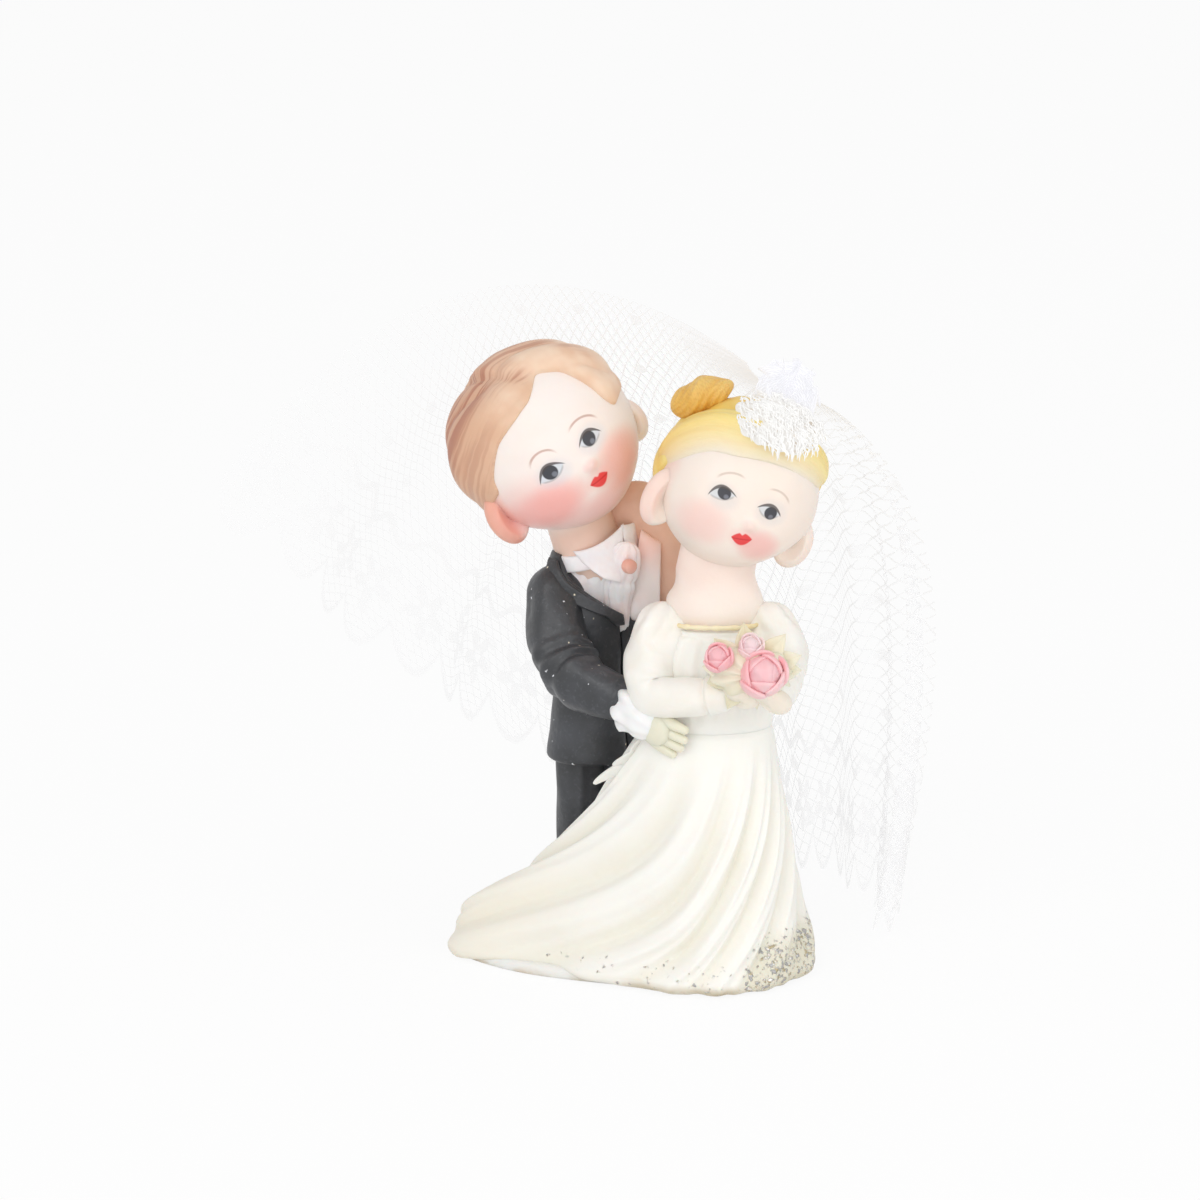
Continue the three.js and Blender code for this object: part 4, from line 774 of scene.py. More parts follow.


# painted hair: soft strokes along the locks, painted shade in the grooves and, where edgeShade is set, on
# the far left, thin dark streaks where marked
def hairMaterial(name, hair):
    light, mid, deep, along = (hair[key] for key in ("light", "mid", "deep", "strokes"))
    wire = newMaterial(name, resinFixed)
    groove, streak = wire.mark("groove"), wire.mark("streak")
    strokes = wire.noise(1.0, 3, wire.turned(along, wire.own()), 0.45)
    lines = wire.noise(1.0, 2, wire.turned((along[0], along[1] * 2.5, 1), wire.own()), 0.5)
    broad, fine = wire.noise(200, 3), wire.noise(1500, 2)
    colour = broad.step(0.35, 0.7).blend(light, mid)
    # painted shade in the grooves
    colour = (groove * 0.5 + strokes.step(0.45, 0.8) * 0.3).blend(colour, mid)
    colour = (wire.place().parts()[0].step(-0.011, -0.0165) * hair["edgeShade"]).blend(colour, mid)
    streak = streak * (0.3 + 0.7 * lines.step(0.45, 0.6)) * hair["streaks"]
    colour = streak.least(1.0).blend(colour, deep)
    return wire.feed(colour=colour, rough=0.38 + fine * 0.16,
                     normal=wire.relief(strokes + fine * 0.2, 0.0001))


groomHair = {"thickness": 0.6, "locks": 3.4, "parting": 285, "soft": 0.04, "lockSoft": 0.45,
             "light": (0.89, 0.68, 0.52), "mid": (0.76, 0.48, 0.32), "deep": (0.47, 0.20, 0.13),
             "strokes": (4, 9, 1), "streaks": 0.95, "edgeShade": 1.0,
             "swells": [(0.65, (0.62, 0.62, 0.48), 0.40), (0.25, (-0.50, 0.68, 0.52), 0.42),
                        (0.55, (-0.93, 0.30, 0.05), 0.30), (0.35, (-0.72, 0.66, -0.2), 0.28)],
             "edge": [(-0.864, 0.081, 0.496), (-0.835, 0.234, 0.498), (-0.575, 0.556, 0.60),
                      (-0.291, 0.671, 0.682), (-0.033, 0.732, 0.68), (0.09, 0.783, 0.615),
                      (0.253, 0.842, 0.476), (0.377, 0.765, 0.523), (0.479, 0.685, 0.549),
                      (0.561, 0.489, 0.668), (0.614, 0.169, 0.771), (0.66, 0.03, 0.75),
                      (0.82, 0.02, 0.57), (0.95, -0.10, 0.10), (0.88, -0.40, -0.15),
                      (0.60, -0.65, -0.40), (0.0, -0.80, -0.60), (-0.75, -0.60, -0.30),
                      (-0.95, -0.25, 0.02), (-0.94, -0.03, 0.33)]}


def fromParting(s, angle):  # angle past the parting, which bends back from the hairline
    return wrapped(angle - np.radians(groomHair["parting"] - 50 * (1 - s)))


# hair steps up from the parting to a rolled quiff; locks swell towards the other ear
def groomHairThickness(d, s, angle):
    parting = fromParting(s, angle)
    lift = sum(high * hill(d, at, wide) for high, at, wide in groomHair["swells"])
    lift = lift + 0.42 * np.tanh(parting / 0.05) * bell(parting, 0.5) * ease(s, 0.2, 0.45)
    lift = lift - 0.35 * bell(parting + 0.05, 0.07) * ease(s, 0.2, 0.5)
    lift = groomHair["thickness"] + lift + 0.3 * groomLocks(s, angle) * ease(s, 0.12, 0.4)
    return np.maximum(lift, 0.12)


def softShare(s, angle):  # share of the way to the hairline with its corners smoothed away
    true = hairline(groomHair["edge"], angle, groomHair["soft"])
    return s * true / hairline(groomHair["edge"], angle, groomHair["lockSoft"])


def groomLocks(s, angle):  # locks run beside the softened hairline and bend towards the nape
    s = softShare(s, angle)
    sway = 0.06 * np.sin(2 * angle + 1) + 0.035 * np.sin(5 * angle + 1)
    phase = groomHair["locks"] * turn * (s + sway)
    return 1.5 * np.abs(np.sin(0.5 * phase)) ** 0.8 - 0.85


def groomRim(angle):  # the edge is thin on the left, a rounded roll at the quiff
    return lerp(2.2, 7.0, ease(np.cos(angle - math.radians(312)), 0.75, 0.95))


def hairMarks(locks, streak):
    groove = np.clip(-locks, 0, 1) ** 1.3
    inside = np.zeros((hairRows + 1, hairCols))
    return {"groove": [groove, inside], "streak": [streak, inside]}


s, share = spread(hairRows, hairCols)
angle = share * turn
lockHeights = groomLocks(s, angle) * ease(s, 0.12, 0.4) + 0 * angle


def facing(degrees, start, full):  # 1 where the angle round the pole is near this one
    return ease(np.cos(angle - math.radians(degrees)), start, full)


# dark streaks: high on the left, over the top, along the parting and low on the left
leftTop = facing(222, 0.2, 0.9) * ease(s, 0.2, 0.4) * (1 - ease(s, 0.62, 0.85))
topBand = facing(285, 0.7, 0.97) * ease(s, 0.3, 0.45) * (1 - ease(s, 0.66, 0.8))
partLine = bell(fromParting(s, angle) + 0.04, 0.06) * ease(s, 0.25, 0.5) * (1 - ease(s, 0.85, 1))
leftLow = 0.45 * facing(200, 0.6, 0.97) * ease(s, 0.45, 0.7)
streaked = np.maximum(np.maximum(leftTop, 0.7 * topBand), np.maximum(0.8 * partLine, leftLow))
grids = hairGrid(groom["headRadius"], groomHair["edge"], groomHairThickness, groomRim, groomHair["soft"])
addPiece("groomHair", [toWorld(g, groomAxes, groomCentre) for g in grids],
         hairMaterial("groomHairPaint", groomHair), hairMarks(lockHeights, streaked),
         [np.stack([share + 0 * s, softShare(s, angle)], -1), np.zeros((hairRows + 1, hairCols, 2))])

brideHair = {"thickness": 0.9, "locks": 11, "soft": 0.12,
             "light": (0.93, 0.74, 0.27), "mid": (0.90, 0.62, 0.14), "deep": (0.62, 0.31, 0.04),
             "strokes": (60, 4, 1), "streaks": 0.7, "edgeShade": 0.0,
             "edge": [(-0.97, 0.05, 0.18), (-0.80, 0.52, 0.30), (-0.35, 0.78, 0.50), (0.10, 0.84, 0.52),
                      (0.50, 0.76, 0.40), (0.82, 0.50, 0.18), (0.92, 0.22, -0.12), (0.88, -0.20, -0.35),
                      (0.60, -0.62, -0.50), (0.0, -0.78, -0.60), (-0.60, -0.66, -0.40),
                      (-0.90, -0.38, -0.10)]}


def brideLocks(s, angle):  # locks fan out from the pole
    count = brideHair["locks"]
    return np.sin(count * angle + 2.2 * s) + 0.4 * np.sin(2.3 * count * angle - 3 * s)


def brideHairThickness(d, s, angle):
    thin = 0.55 * hill(d, (0.93, 0.25, 0.0), 0.5)
    return brideHair["thickness"] - thin + 0.10 * brideLocks(s, angle) * ease(s, 0.08, 0.3)


grids = hairGrid(bride["headRadius"], brideHair["edge"], brideHairThickness, lambda a: 7.0 + 0 * a,
                 brideHair["soft"], brideFace["trim"])
brideGrooves = brideLocks(s, angle) * ease(s, 0.08, 0.3) + 0 * angle
addPiece("brideHair", [toWorld(g, brideAxes, brideCentre) for g in grids],
         hairMaterial("brideHairPaint", brideHair),
         hairMarks(brideGrooves, 0.5 * (1 - s) + 0 * angle))

# fringe: a flat oval band carried along the hairline, grooved lengthways, thinner at the temples
fringe = {"wide": 2.3, "high": 1.35, "crest": (0.94, 0.77, 0.30), "brushed": (0.91, 0.66, 0.17),
          "groove": (0.74, 0.45, 0.09), "temple": (0.88, 0.55, 0.12), "edge": (0.93, 0.815, 0.70),
          "path": [(-0.985, -0.10, -0.10), (-0.93, 0.33, 0.14), (-0.66, 0.66, 0.36), (-0.40, 0.76, 0.51),
                   (0, 0.84, 0.54), (0.40, 0.80, 0.45), (0.68, 0.66, 0.32), (0.84, 0.50, 0.22)]}
run = np.linspace(0, 1, 160)
line = unit(curveThrough(fringe["path"], run))
core = skullPoint(line, bride["headRadius"], None, brideFace["trim"]) + line * 0.25
forward = unit(np.gradient(core, axis=0))
faceward = unit(np.cross(line, forward))
taper = np.sqrt(np.clip(1 - np.abs(2 * run - 1) ** np.where(run > 0.5, 2.6, 5.0), 0, 1))[:, None]
band = np.linspace(0, turn, 65)[None, :]
strand = 0.03 * np.sin(9 * band + 4 * run[:, None]) + 0.015 * np.sin(17 * band - 6 * run[:, None])
low = 0 if faceward[80, 2] > 0 else math.pi
towards = np.maximum(np.cos(band - low), 0)
wedge = 1 - 0.8 * towards  # the band thins to a wedge on the forehead
reach = fringe["wide"] * taper * (1 + strand + 0.3 * towards ** 3) * np.cos(band)
lift = fringe["high"] * taper * (1 + 2.2 * strand) * wedge * np.sin(band)
lift = lift + 0.35 * taper - 0.1 - 0.33 * towards ** 2
heading = unit((core[:, None] + faceward[:, None] * reach[..., None]) / skullShape)
fringeGrid = skullPoint(heading, bride["headRadius"], brideFace, brideFace["trim"])
fringeGrid = fringeGrid + unit(fringeGrid) * lift[..., None]
fade = bell(wrapped(band - low), 1.0) + 0 * run[:, None]


# lemon yellow on the crest, painted shade in the grooves, airbrushed to cream at the edge on the forehead,
# golden at the temples
def fringeMaterial():
    wire = newMaterial("fringePaint", resinFixed)
    fadeMark, groove, temple = wire.mark("fade"), wire.mark("groove"), wire.mark("temple")
    strokes = wire.noise(1.0, 4, wire.turned((40, 5, 1), wire.own()), 0.6)
    broad, fine = wire.noise(260, 3), wire.noise(1500, 2)
    colour = (strokes.step(0.4, 0.7) * 0.5).blend(fringe["crest"], fringe["brushed"])
    colour = (groove * 0.25).blend(colour, fringe["groove"])
    colour = (temple * 0.8).blend(colour, fringe["temple"])
    colour = (fadeMark * (0.75 + 0.4 * broad)).least(1.0).blend(colour, fringe["edge"])
    return wire.feed(colour=colour, rough=0.36 + fine * 0.16,
                     normal=wire.relief(strokes + fine * 0.3, 0.00014))


temple = bell(run, 0.22)[:, None] + 0 * band
addPiece("brideFringe", [toWorld(fringeGrid, brideAxes, brideCentre)], fringeMaterial(),
         {"fade": [fade], "groove": [np.clip(-strand * 14, 0, 1)], "temple": [temple]})

# bun: a roll of hair that lies along the back of the crown, twisted, with strand grooves
bun = {"radius": 2.45, "at": (-0.72, 0.66, -0.2), "along": (0.68, 0.73, 0.0),
       "light": (0.88, 0.60, 0.19), "mid": (0.80, 0.46, 0.09), "deep": (0.52, 0.23, 0.03),
       "strokes": (30, 18, 1), "streaks": 0.7, "edgeShade": 0.0}
bunOut = unit(bun["at"])
bunAlong = unit(np.array(bun["along"]) - bunOut * (bunOut @ np.array(bun["along"])))
bunSide = np.cross(bunAlong, bunOut)
d = sphereGrid(81, 121)[..., [1, 0, 2]]
roll = np.arctan2(d[..., 2], d[..., 1])
coil = np.sin(2 * roll + 6 * d[..., 0])
strandsOnBun = 0.4 * np.sin(11 * roll + 17 * d[..., 0])
thick = (1 + 0.08 * coil + 0.09 * strandsOnBun) * (1 - 0.28 * ease(d[..., 0], 0.1, 1))
local = (bunAlong * (1.36 * d[..., 0])[..., None] + bunOut * (0.75 * d[..., 1] * thick)[..., None]
         + bunSide * (d[..., 2] * thick)[..., None]) * bun["radius"]
local = local + bunOut * (bride["headRadius"] + 0.9 + 0.3 * bun["radius"])
addPiece("brideBun", [toWorld(local, brideAxes, brideCentre)], hairMaterial("bunPaint", bun),
         {"groove": [np.clip(-coil - strandsOnBun, 0, 1)], "streak": [0.4 + 0 * coil]})
print("hair ready")


# bride's arms: sleeves from the shoulders to the bouquet, creased inside the elbow, gathered at the shoulder
arms = {"sleeve": 2.7, "elbow": 2.2, "wrist": 1.55, "hand": 1.7, "reach": 3.7, "offset": 3.6,
        "handsZ": 29.904, "bouquetWide": 4.4, "bouquetHigh": 3.0}
bouquetCentre = np.array([gown["x"] + arms["offset"], gown["y"] - bride["bustDeep"] - arms["reach"],
                          arms["handsZ"] + 1.03 * arms["bouquetHigh"]])


def brideArm(side):
    shoulder = shoulderLine + [side * (bride["shoulderWide"] + 0.2 * arms["sleeve"]), -0.6,
                               -0.75 * arms["sleeve"]]
    elbowZ = arms["handsZ"] + (1.2 if side > 0 else -0.4)
    elbow = np.array([shoulder[0] + side * 1.1, gown["y"] - 3.6, elbowZ])
    wrist = bouquetCentre + [0.62 * side * arms["bouquetWide"], 1.9, 0]
    wrist[2] = arms["handsZ"] + 0.2
    sleeve = [shoulder, lerp(shoulder, elbow, 0.5) + [side * 0.5, 0.3, 0], elbow,
              lerp(elbow, wrist, 0.55) + [0, -0.5, -0.2], wrist]
    palm = [lerp(wrist, elbow, -0.32), lerp(wrist, bouquetCentre, 0.35) + [-side * 0.6, -0.9, -0.3]]
    return sleeve, palm


def sleeveFolds(s, a):  # gathers by the shoulder, creases by the elbow, a cuff edge
    gathers = 0.05 * np.cos(9 * a) * bell(s - 0.03, 0.1)
    creases = 0.06 * np.sin(52 * s + 2 * np.cos(a)) * bell(s - 0.5, 0.16) * (0.5 - 0.5 * np.cos(a - 2.2))
    long_ = 0.035 * np.sin(4 * a + 9 * s)
    cuff = 0.10 * ease(s, 0.885, 0.9) - 0.07 * bell(s - 0.88, 0.012)
    return gathers + creases + long_ + cuff


def fingerGrooves(s, a):  # three grooves along the front of a flat hand make four fingers
    width = np.sin(a)
    lines = bell(width - 0.5, 0.1) + bell(width, 0.1) + bell(width + 0.5, 0.1)
    tips = 0.07 * np.cos(4 * math.pi * width) * ease(s, 0.75, 1)
    return -0.17 * lines * ease(s, 0.3, 0.55) + tips


sleeveRadii = [arms["sleeve"], 1.05 * arms["sleeve"], arms["elbow"], 0.9 * arms["elbow"], arms["wrist"]]
for label, side in (("Right", -1), ("Left", 1)):
    sleevePath, palmPath = brideArm(side)
    sleeve = limb(sleevePath, sleeveRadii, rings=150, around=72, swell=sleeveFolds)
    addPiece(f"bride{label}Sleeve", [sleeve], creamPaint)
    palm = limb(palmPath, [arms["hand"], 0.85 * arms["hand"]], flat=0.75, swell=fingerGrooves)
    palmPaint = paintedResin(f"bride{label}HandPaint", "brideHandPaint")
    addPiece(f"bride{label}Hand", [palm], palmPaint)


def axesRound(axis, beside):  # a unit axis and two directions square to it
    axis = unit(axis)
    first = unit(np.cross(axis, beside))
    return axis, first, np.cross(axis, first)


def polarPoint(axes, r, polar, heading):  # r out from the axes' origin, at a polar angle and a heading
    axis, first, second = axes
    side = r * np.sin(polar)
    return (axis * (r * np.cos(polar))[..., None] + first * (side * np.cos(heading))[..., None]
            + second * (side * np.sin(heading))[..., None])


# rose: cupped petals set round an axis, the inner ones closed over the bud, each petal a slab of paint
def roseGrids(centre, axis, radius, petals=13):
    axes = axesRound(axis, (0.3, 0.2, 1.0))
    grids = []
    for k in range(petals):
        level = k / (petals - 1)
        size = radius * lerp(0.42, 1.0, level ** 0.8)
        tip = math.radians(lerp(8, 66, level))
        wide = lerp(1.5, 0.85, level)

        def petal(u, v, start=2.4 * k, size=size, tip=tip, wide=wide):
            across = 2 * u - 1
            heading = start + across * wide * (1 - 0.25 * v)
            curl = 1 + 0.10 * ease(v, 0.75, 1) - 0.06 * across ** 2 * v
            polar = lerp(math.radians(125), tip, v) + 0.35 * across ** 2 * v
            return centre + polarPoint(axes, size * curl, polar, heading)

        grids += slab(petal, 17, 21, 0.2 * radius, 0.2)
    return grids + [centre + sphereGrid(21, 31) * 0.74 * radius]


rosePaint = paintedResin("rosePaint")
palePaint = paintedResin("palePaint")
bouquetSize = np.array([arms["bouquetWide"], arms["bouquetHigh"], arms["bouquetHigh"]])
roses = [("Large", (0.26, -0.5, 0.05), 2.3, rosePaint), ("Small", (-0.72, -0.45, 0.6), 1.426, rosePaint),
         ("Top", (0.0, -0.15, 0.9), 1.265, palePaint)]
for label, seat, radius, paint in roses:
    at = bouquetCentre + np.array(seat) * bouquetSize
    grids = roseGrids(at, (0.35 * seat[0], -1, 0.55 + 0.5 * seat[2]), radius)
    addPiece(f"rose{label}", grids, paint, nodes=[f"bouquet_rose_{label.lower()}"])


# leaf: a pointed oval folded along its rib, bent back at its tip
def leafGrids(root, heading, face, length, wide):
    heading, face = unit(heading), unit(face)
    across = np.cross(face, heading)

    def leaf(u, v):
        half = wide * np.sin(math.pi * v ** 0.75) * (2 * u - 1)
        fold = 0.35 * np.abs(half) - 0.35 * length * (v - 0.4) ** 2
        return (root + heading * (length * v + 0 * u)[..., None] + across * half[..., None]
                + face * (fold + 0 * u)[..., None])

    return slab(leaf, 25, 17, 0.35, 0.2)


leaves = {"count": 12, "length": 3.6, "wide": 1.15}
leafGridList = []
for k in range(leaves["count"]):
    a = turn * (k + 0.3 * math.sin(5 * k)) / leaves["count"]
    heading = np.array([math.cos(a), 0.12 + 0.2 * math.sin(3 * k), math.sin(a) * 0.8])
    root = bouquetCentre + heading * [1.6, 0, 1.1] + [0, 0.2, 0]
    length = leaves["length"] * (1 + 0.12 * math.sin(7 * k))
    leafGridList += leafGrids(root, heading, (0.2 * math.cos(a), -1, 0.35), length, leaves["wide"])
d = sphereGrid(41, 81)
lumps = 1 + 0.08 * np.cos(9 * np.arctan2(d[..., 2], d[..., 0]))
leafGridList.append(bouquetCentre + d * (bouquetSize * [0.86, 0.6, 0.86]) * lumps[..., None])
leafPaint = paintedResin("leafPaint")
addPiece("bouquetLeaves", leafGridList, leafPaint)
print("bouquet ready")


# groom's torso: ovals turned to the groom's heading, from hem to collar; angle 0 is the front
headingAngle = math.radians(groom["turn"]) - math.pi / 2


def groomTorso(t, angle, out):
    wide = profile([(0, groom["hemWide"]), (0.34, groom["waistWide"]), (0.68, groom["chestWide"]),
                    (0.86, 0.96 * groom["chestWide"]), (1, groom["collar"])], t)
    deep = profile([(0, groom["hemDeep"]), (0.34, 0.93 * groom["hemDeep"]), (0.68, groom["chestDeep"]),
                    (0.86, 0.86 * groom["chestDeep"]), (1, 0.9 * groom["collar"])], t)
    x, y = (deep + out) * np.cos(angle), (wide + out) * np.sin(angle)
    c, s = math.cos(headingAngle), math.sin(headingAngle)
    return stack(groom["x"] - 0.5 * groom["lean"] * t + x * c - y * s,
                 groom["y"] - groom["lean"] * t + x * s + y * c,
                 lerp(groom["hem"], groom["hem"] + groom["height"], t))


suit = {"dark": (0.040, 0.042, 0.046), "sheen": (0.068, 0.072, 0.082), "grain": (0.12, 0.125, 0.14),
        "worn": (0.36, 0.37, 0.40), "coldSpeck": (0.80, 0.81, 0.85), "warmSpeck": (0.8, 0.72, 0.55)}


# charcoal satin paint: bluish sheen in brushed patches, worn pale specks and a few glints of stray glitter
def suitMaterial(name, specks):
    wire = newMaterial(name, {"Specular IOR Level": 0.5})
    broad, fine, grain = wire.noise(150, 4), wire.noise(900, 4), wire.noise(2600, 2)
    colour = broad.step(0.4, 0.7).blend(suit["dark"], suit["sheen"])
    colour = (grain.step(0.55, 0.75) * 0.3).blend(colour, suit["grain"])
    cluster, warm = wire.noise(230, 2).step(0.56, 0.66), wire.noise(700, 1)
    speck = (wire.noise(1500, 1) + cluster * 0.06).step(0.745, 0.775) * specks
    worn = wire.noise(520, 5, rough=0.7).step(0.56, 0.68) * cluster * specks * 0.6
    colour = worn.blend(colour, suit["worn"])
    colour = speck.blend(colour, warm.step(0.5, 0.6).blend(suit["coldSpeck"], suit["warmSpeck"]))
    return wire.feed(colour=colour, rough=0.33 + fine * 0.22, normal=wire.relief(fine + broad, 0.00012))


suitPaint = suitMaterial("suitPaint", 1.0)
trouserPaint = suitMaterial("trouserPaint", 0.2)
jacket = {"opening": {-1: 92, 1: 80}, "bend": {-1: 1.0, 1: 0.2}, "vFoot": 0.72, "slit": 0.4}


def vOpening(t, side):  # straight on the groom's right, springing wide at once on the left
    share = np.clip((t - jacket["vFoot"]) / (1 - jacket["vFoot"]), 0, 1)
    bent = share ** jacket["bend"][side]
    return math.radians(jacket["opening"][side]) * bent + math.radians(jacket["slit"])


# jacket: the torso's outline with a V left open, drag folds at the waist, a flared hem and a back vent
def jacketPoint(u, v):
    t = 0.985 * v
    angle = lerp(vOpening(t, 1), turn - vOpening(t, -1), u)
    drag = 0.14 * np.sin(26 * t + 3 * np.sin(angle)) * bell(t - 0.42, 0.16)
    vent = -0.5 * bell(wrapped(angle - math.pi), 0.03) * (1 - ease(t, 0.1, 0.3))
    flare = 0.25 * (1 - ease(t, 0.0, 0.14))
    return groomTorso(t, angle, -0.5 * groom["cloth"] + drag + vent + flare)


addPiece("groomJacket", slab(jacketPoint, 91, 221, groom["cloth"], 0.02), suitPaint)
shirt = {"white": (0.985, 0.965, 0.97), "pink": (0.98, 0.74, 0.70), "lilac": (0.92, 0.89, 0.94),
         "coral": (0.95, 0.62, 0.55)}


# white paint washed with pink and lilac
def shirtMaterial(name, pink):
    wire = newMaterial(name, resinFixed)
    broad, wide, fine = wire.noise(330, 3), wire.noise(120, 2), wire.noise(1500, 2)
    side = wire.place().parts()[0]
    colour = (broad.step(0.38, 0.66) * pink).blend(shirt["white"], shirt["pink"])
    colour = (wide.step(0.45, 0.6) * 0.3).blend(colour, shirt["lilac"])
    colour = (side.step(0.0004, 0.0014) * 0.6).blend(colour, shirt["coral"])
    return wire.feed(colour=colour, rough=0.4 + fine * 0.15, normal=wire.relief(fine + broad, 0.00008))


shirtPaint = shirtMaterial("shirtPaint", 0.4)
tiePaint = shirtMaterial("tiePaint", 0.6)

# lapels: bands along the edges of the V, widest above the middle, rolled outwards; the left one is pink
lapel = {"width": 2.4, "thickness": 0.6}
pinkBand = {"left": (-0.3, 1.2), "right": 3.0, "foot": 33.5, "top": 42.9, "slant": 1.2, "y": 4.2,
            "thickness": 1.4, "pale": (0.985, 0.90, 0.88), "pink": (0.98, 0.52, 0.42)}
bandPaint = skinMaterial("bandPaint", pinkBand["pale"], pinkBand["pink"])


def rightLapel(u, v):
    t = lerp(jacket["vFoot"] - 0.05, 0.97, v)
    width = lapel["width"] / groom["chestDeep"] * np.sin(math.pi * lerp(0.08, 0.8, v))
    roll = 0.1 * ease(u, 0.5, 1) * np.sin(math.pi * v)
    return groomTorso(t, -vOpening(t, -1) - width * u, 0.1 + 0.5 * lapel["thickness"] + roll)


def leftLapel(u, v):  # an upright band beside the shirt, its top cut on a slant
    x = lerp(lerp(pinkBand["left"][0], pinkBand["left"][1], v), pinkBand["right"], u)
    z = lerp(pinkBand["foot"], pinkBand["top"] - pinkBand["slant"] * u, v)
    return stack(x, pinkBand["y"] - 0.3 * np.sin(math.pi * u), z)


for label, surface, thickness, paint, slot in (
        ("Right", rightLapel, lapel["thickness"], suitPaint, "black_paint"),
        ("Left", leftLapel, pinkBand["thickness"], bandPaint, "white_paint")):
    addPiece(f"groom{label}Lapel", slab(surface, 61, 21, thickness, 0.14), paint)


# shirt: the torso's core, with pressed pleats down the front
def shirtFront(t, angle):  # how far the front stands out in the V
    return 1.3 * bell(wrapped(angle - 0.2), math.radians(48)) * ease(t, 0.72, 0.9)


def shirtPoint(t, angle):
    pleats = 0.16 * np.abs(np.sin(11 * angle)) * bell(wrapped(angle), 0.9) * ease(t, 0.6, 0.75)
    return groomTorso(t, angle, shirtFront(t, angle) - (groom["cloth"] + 0.48) + pleats)


addPiece("groomShirt", [closed(shirtPoint, 90, 241)], shirtPaint)

# stand-up collar: a band round the neck with two wings folded down at the front
collar = {"height": 1.7, "radius": 3.95, "tilt": 1.4}
collarAngle = np.linspace(0, turn, 181)
fromFront = collarAngle - headingAngle
rise = (0.35 + 0.12 * np.cos(fromFront)) * collar["height"] + collar["tilt"] * (np.sin(fromFront) - 0.35)
outward = np.stack([np.cos(collarAngle), np.sin(collarAngle), 0 * collarAngle], -1)
ring = collarTop + collar["radius"] * outward + rise[:, None] * np.array([0, 0, 1])
oval = np.linspace(0, turn, 33)[None, :]
squarish = (np.abs(np.cos(oval)) ** 4 + np.abs(np.sin(oval)) ** 4) ** -0.25
collarGrids = [swept(ring, outward, np.array([0.06, -0.04, 1.0]), 0.36 * squarish * np.cos(oval),
                     0.5 * collar["height"] * squarish * np.sin(oval))]
for side in (-1, 1):
    def wing(u, v, side=side):
        a = headingAngle + 0.12 + side * (1.3 * u * (1 - 0.75 * v) - 0.04 + 0.2 * v)
        r = collar["radius"] + 0.35 + 0.75 * v - 0.25 * u
        z = collarTop[2] + collar["height"] * (1.1 - 2.4 * v + 0.4 * u * v) + 0.2 * u
        z = z + collar["tilt"] * (np.sin(a - headingAngle) - 0.35) + 1.5 * (1 - u) ** 2 * (1 - v)
        return stack(collarTop[0] + r * np.cos(a), collarTop[1] + r * np.sin(a), z)

    collarGrids += slab(wing, 31, 31, 0.4, 0.12)
addPiece("groomCollar", collarGrids, shirtPaint)

# the casting leaves a web of resin between the two necks, painted the brown of the shade in the crevice
# there
web = {"path": [(4.2, 5.2, 36.8), (2.9, 5.3, 41.0), (0.8, 5.6, 44.4)], "radii": [2.2, 3.2, 3.2]}
webShadePaint = paintedResin("webShadePaint")
addPiece("resinWeb", [limb(web["path"], web["radii"], side=(0, -1, 0), flat=0.36)], webShadePaint,
         nodes=())

# tie: a soft flat knot and tail with pleats, and a coral stud with a raised rim
tie = {"width": 3.1, "length": 7.0, "top": 0.98, "stud": 0.75}
groomFront = np.array([math.cos(headingAngle), math.sin(headingAngle), 0])


def tieLine(share):
    t = np.array(tie["top"] - share * tie["length"] / groom["height"])
    return groomTorso(t, np.array(0.0), shirtFront(t, np.array(0.0)) + 0.35 - groom["cloth"])


def tieFolds(s, a):  # pleats, a full knot and a nip below it
    return 0.09 * np.cos(9 * a + 2 * s) + 0.14 * bell(s - 0.1, 0.1) - 0.14 * bell(s - 0.36, 0.05)


knot = collarTop + groomFront * (collar["radius"] + groom["cloth"]) + [0.5, 0, 0.1 * collar["height"]]
tieRadii = [share * tie["width"] for share in (0.42, 0.5, 0.42, 0.3)]
tieGrid = limb([knot, tieLine(0.3), tieLine(0.65), tieLine(1)], tieRadii, side=(0, -1, 0), flat=0.4,
               around=72, swell=tieFolds)
addPiece("groomTie", [tieGrid], tiePaint)
d = sphereGrid(41, 61)
facingFront = d @ groomFront
ridge = 1 + 0.09 * bell(facingFront - 0.55, 0.12) - 0.12 * bell(facingFront - 1, 0.2)
studGrid = tieLine(0.06) + groomFront * 0.5 * tie["width"] + d * (tie["stud"] * ridge)[..., None]
studPaint = paintedResin("studPaint")
addPiece("tieStud", [studGrid], studPaint)

# shoes: rounded uppers on a sole with a welt; trousers: legs with a pressed crease and folds at the ankle
legs = {"radius": 2.5, "spacing": 4.9, "shoeLength": 7.0, "shoeHeight": 2.6}


def trouserFolds(s, a):  # pressed creases before and behind, folds by the ankle
    crease = 0.07 * bell(wrapped(a + math.pi / 2), 0.14) + 0.05 * bell(wrapped(a - math.pi / 2), 0.14)
    ankle = 0.035 * np.sin(60 * s + 2 * np.sin(a)) * bell(s - 0.06, 0.1)
    return crease + ankle + 0.02 * np.sin(5 * a + 12 * s)


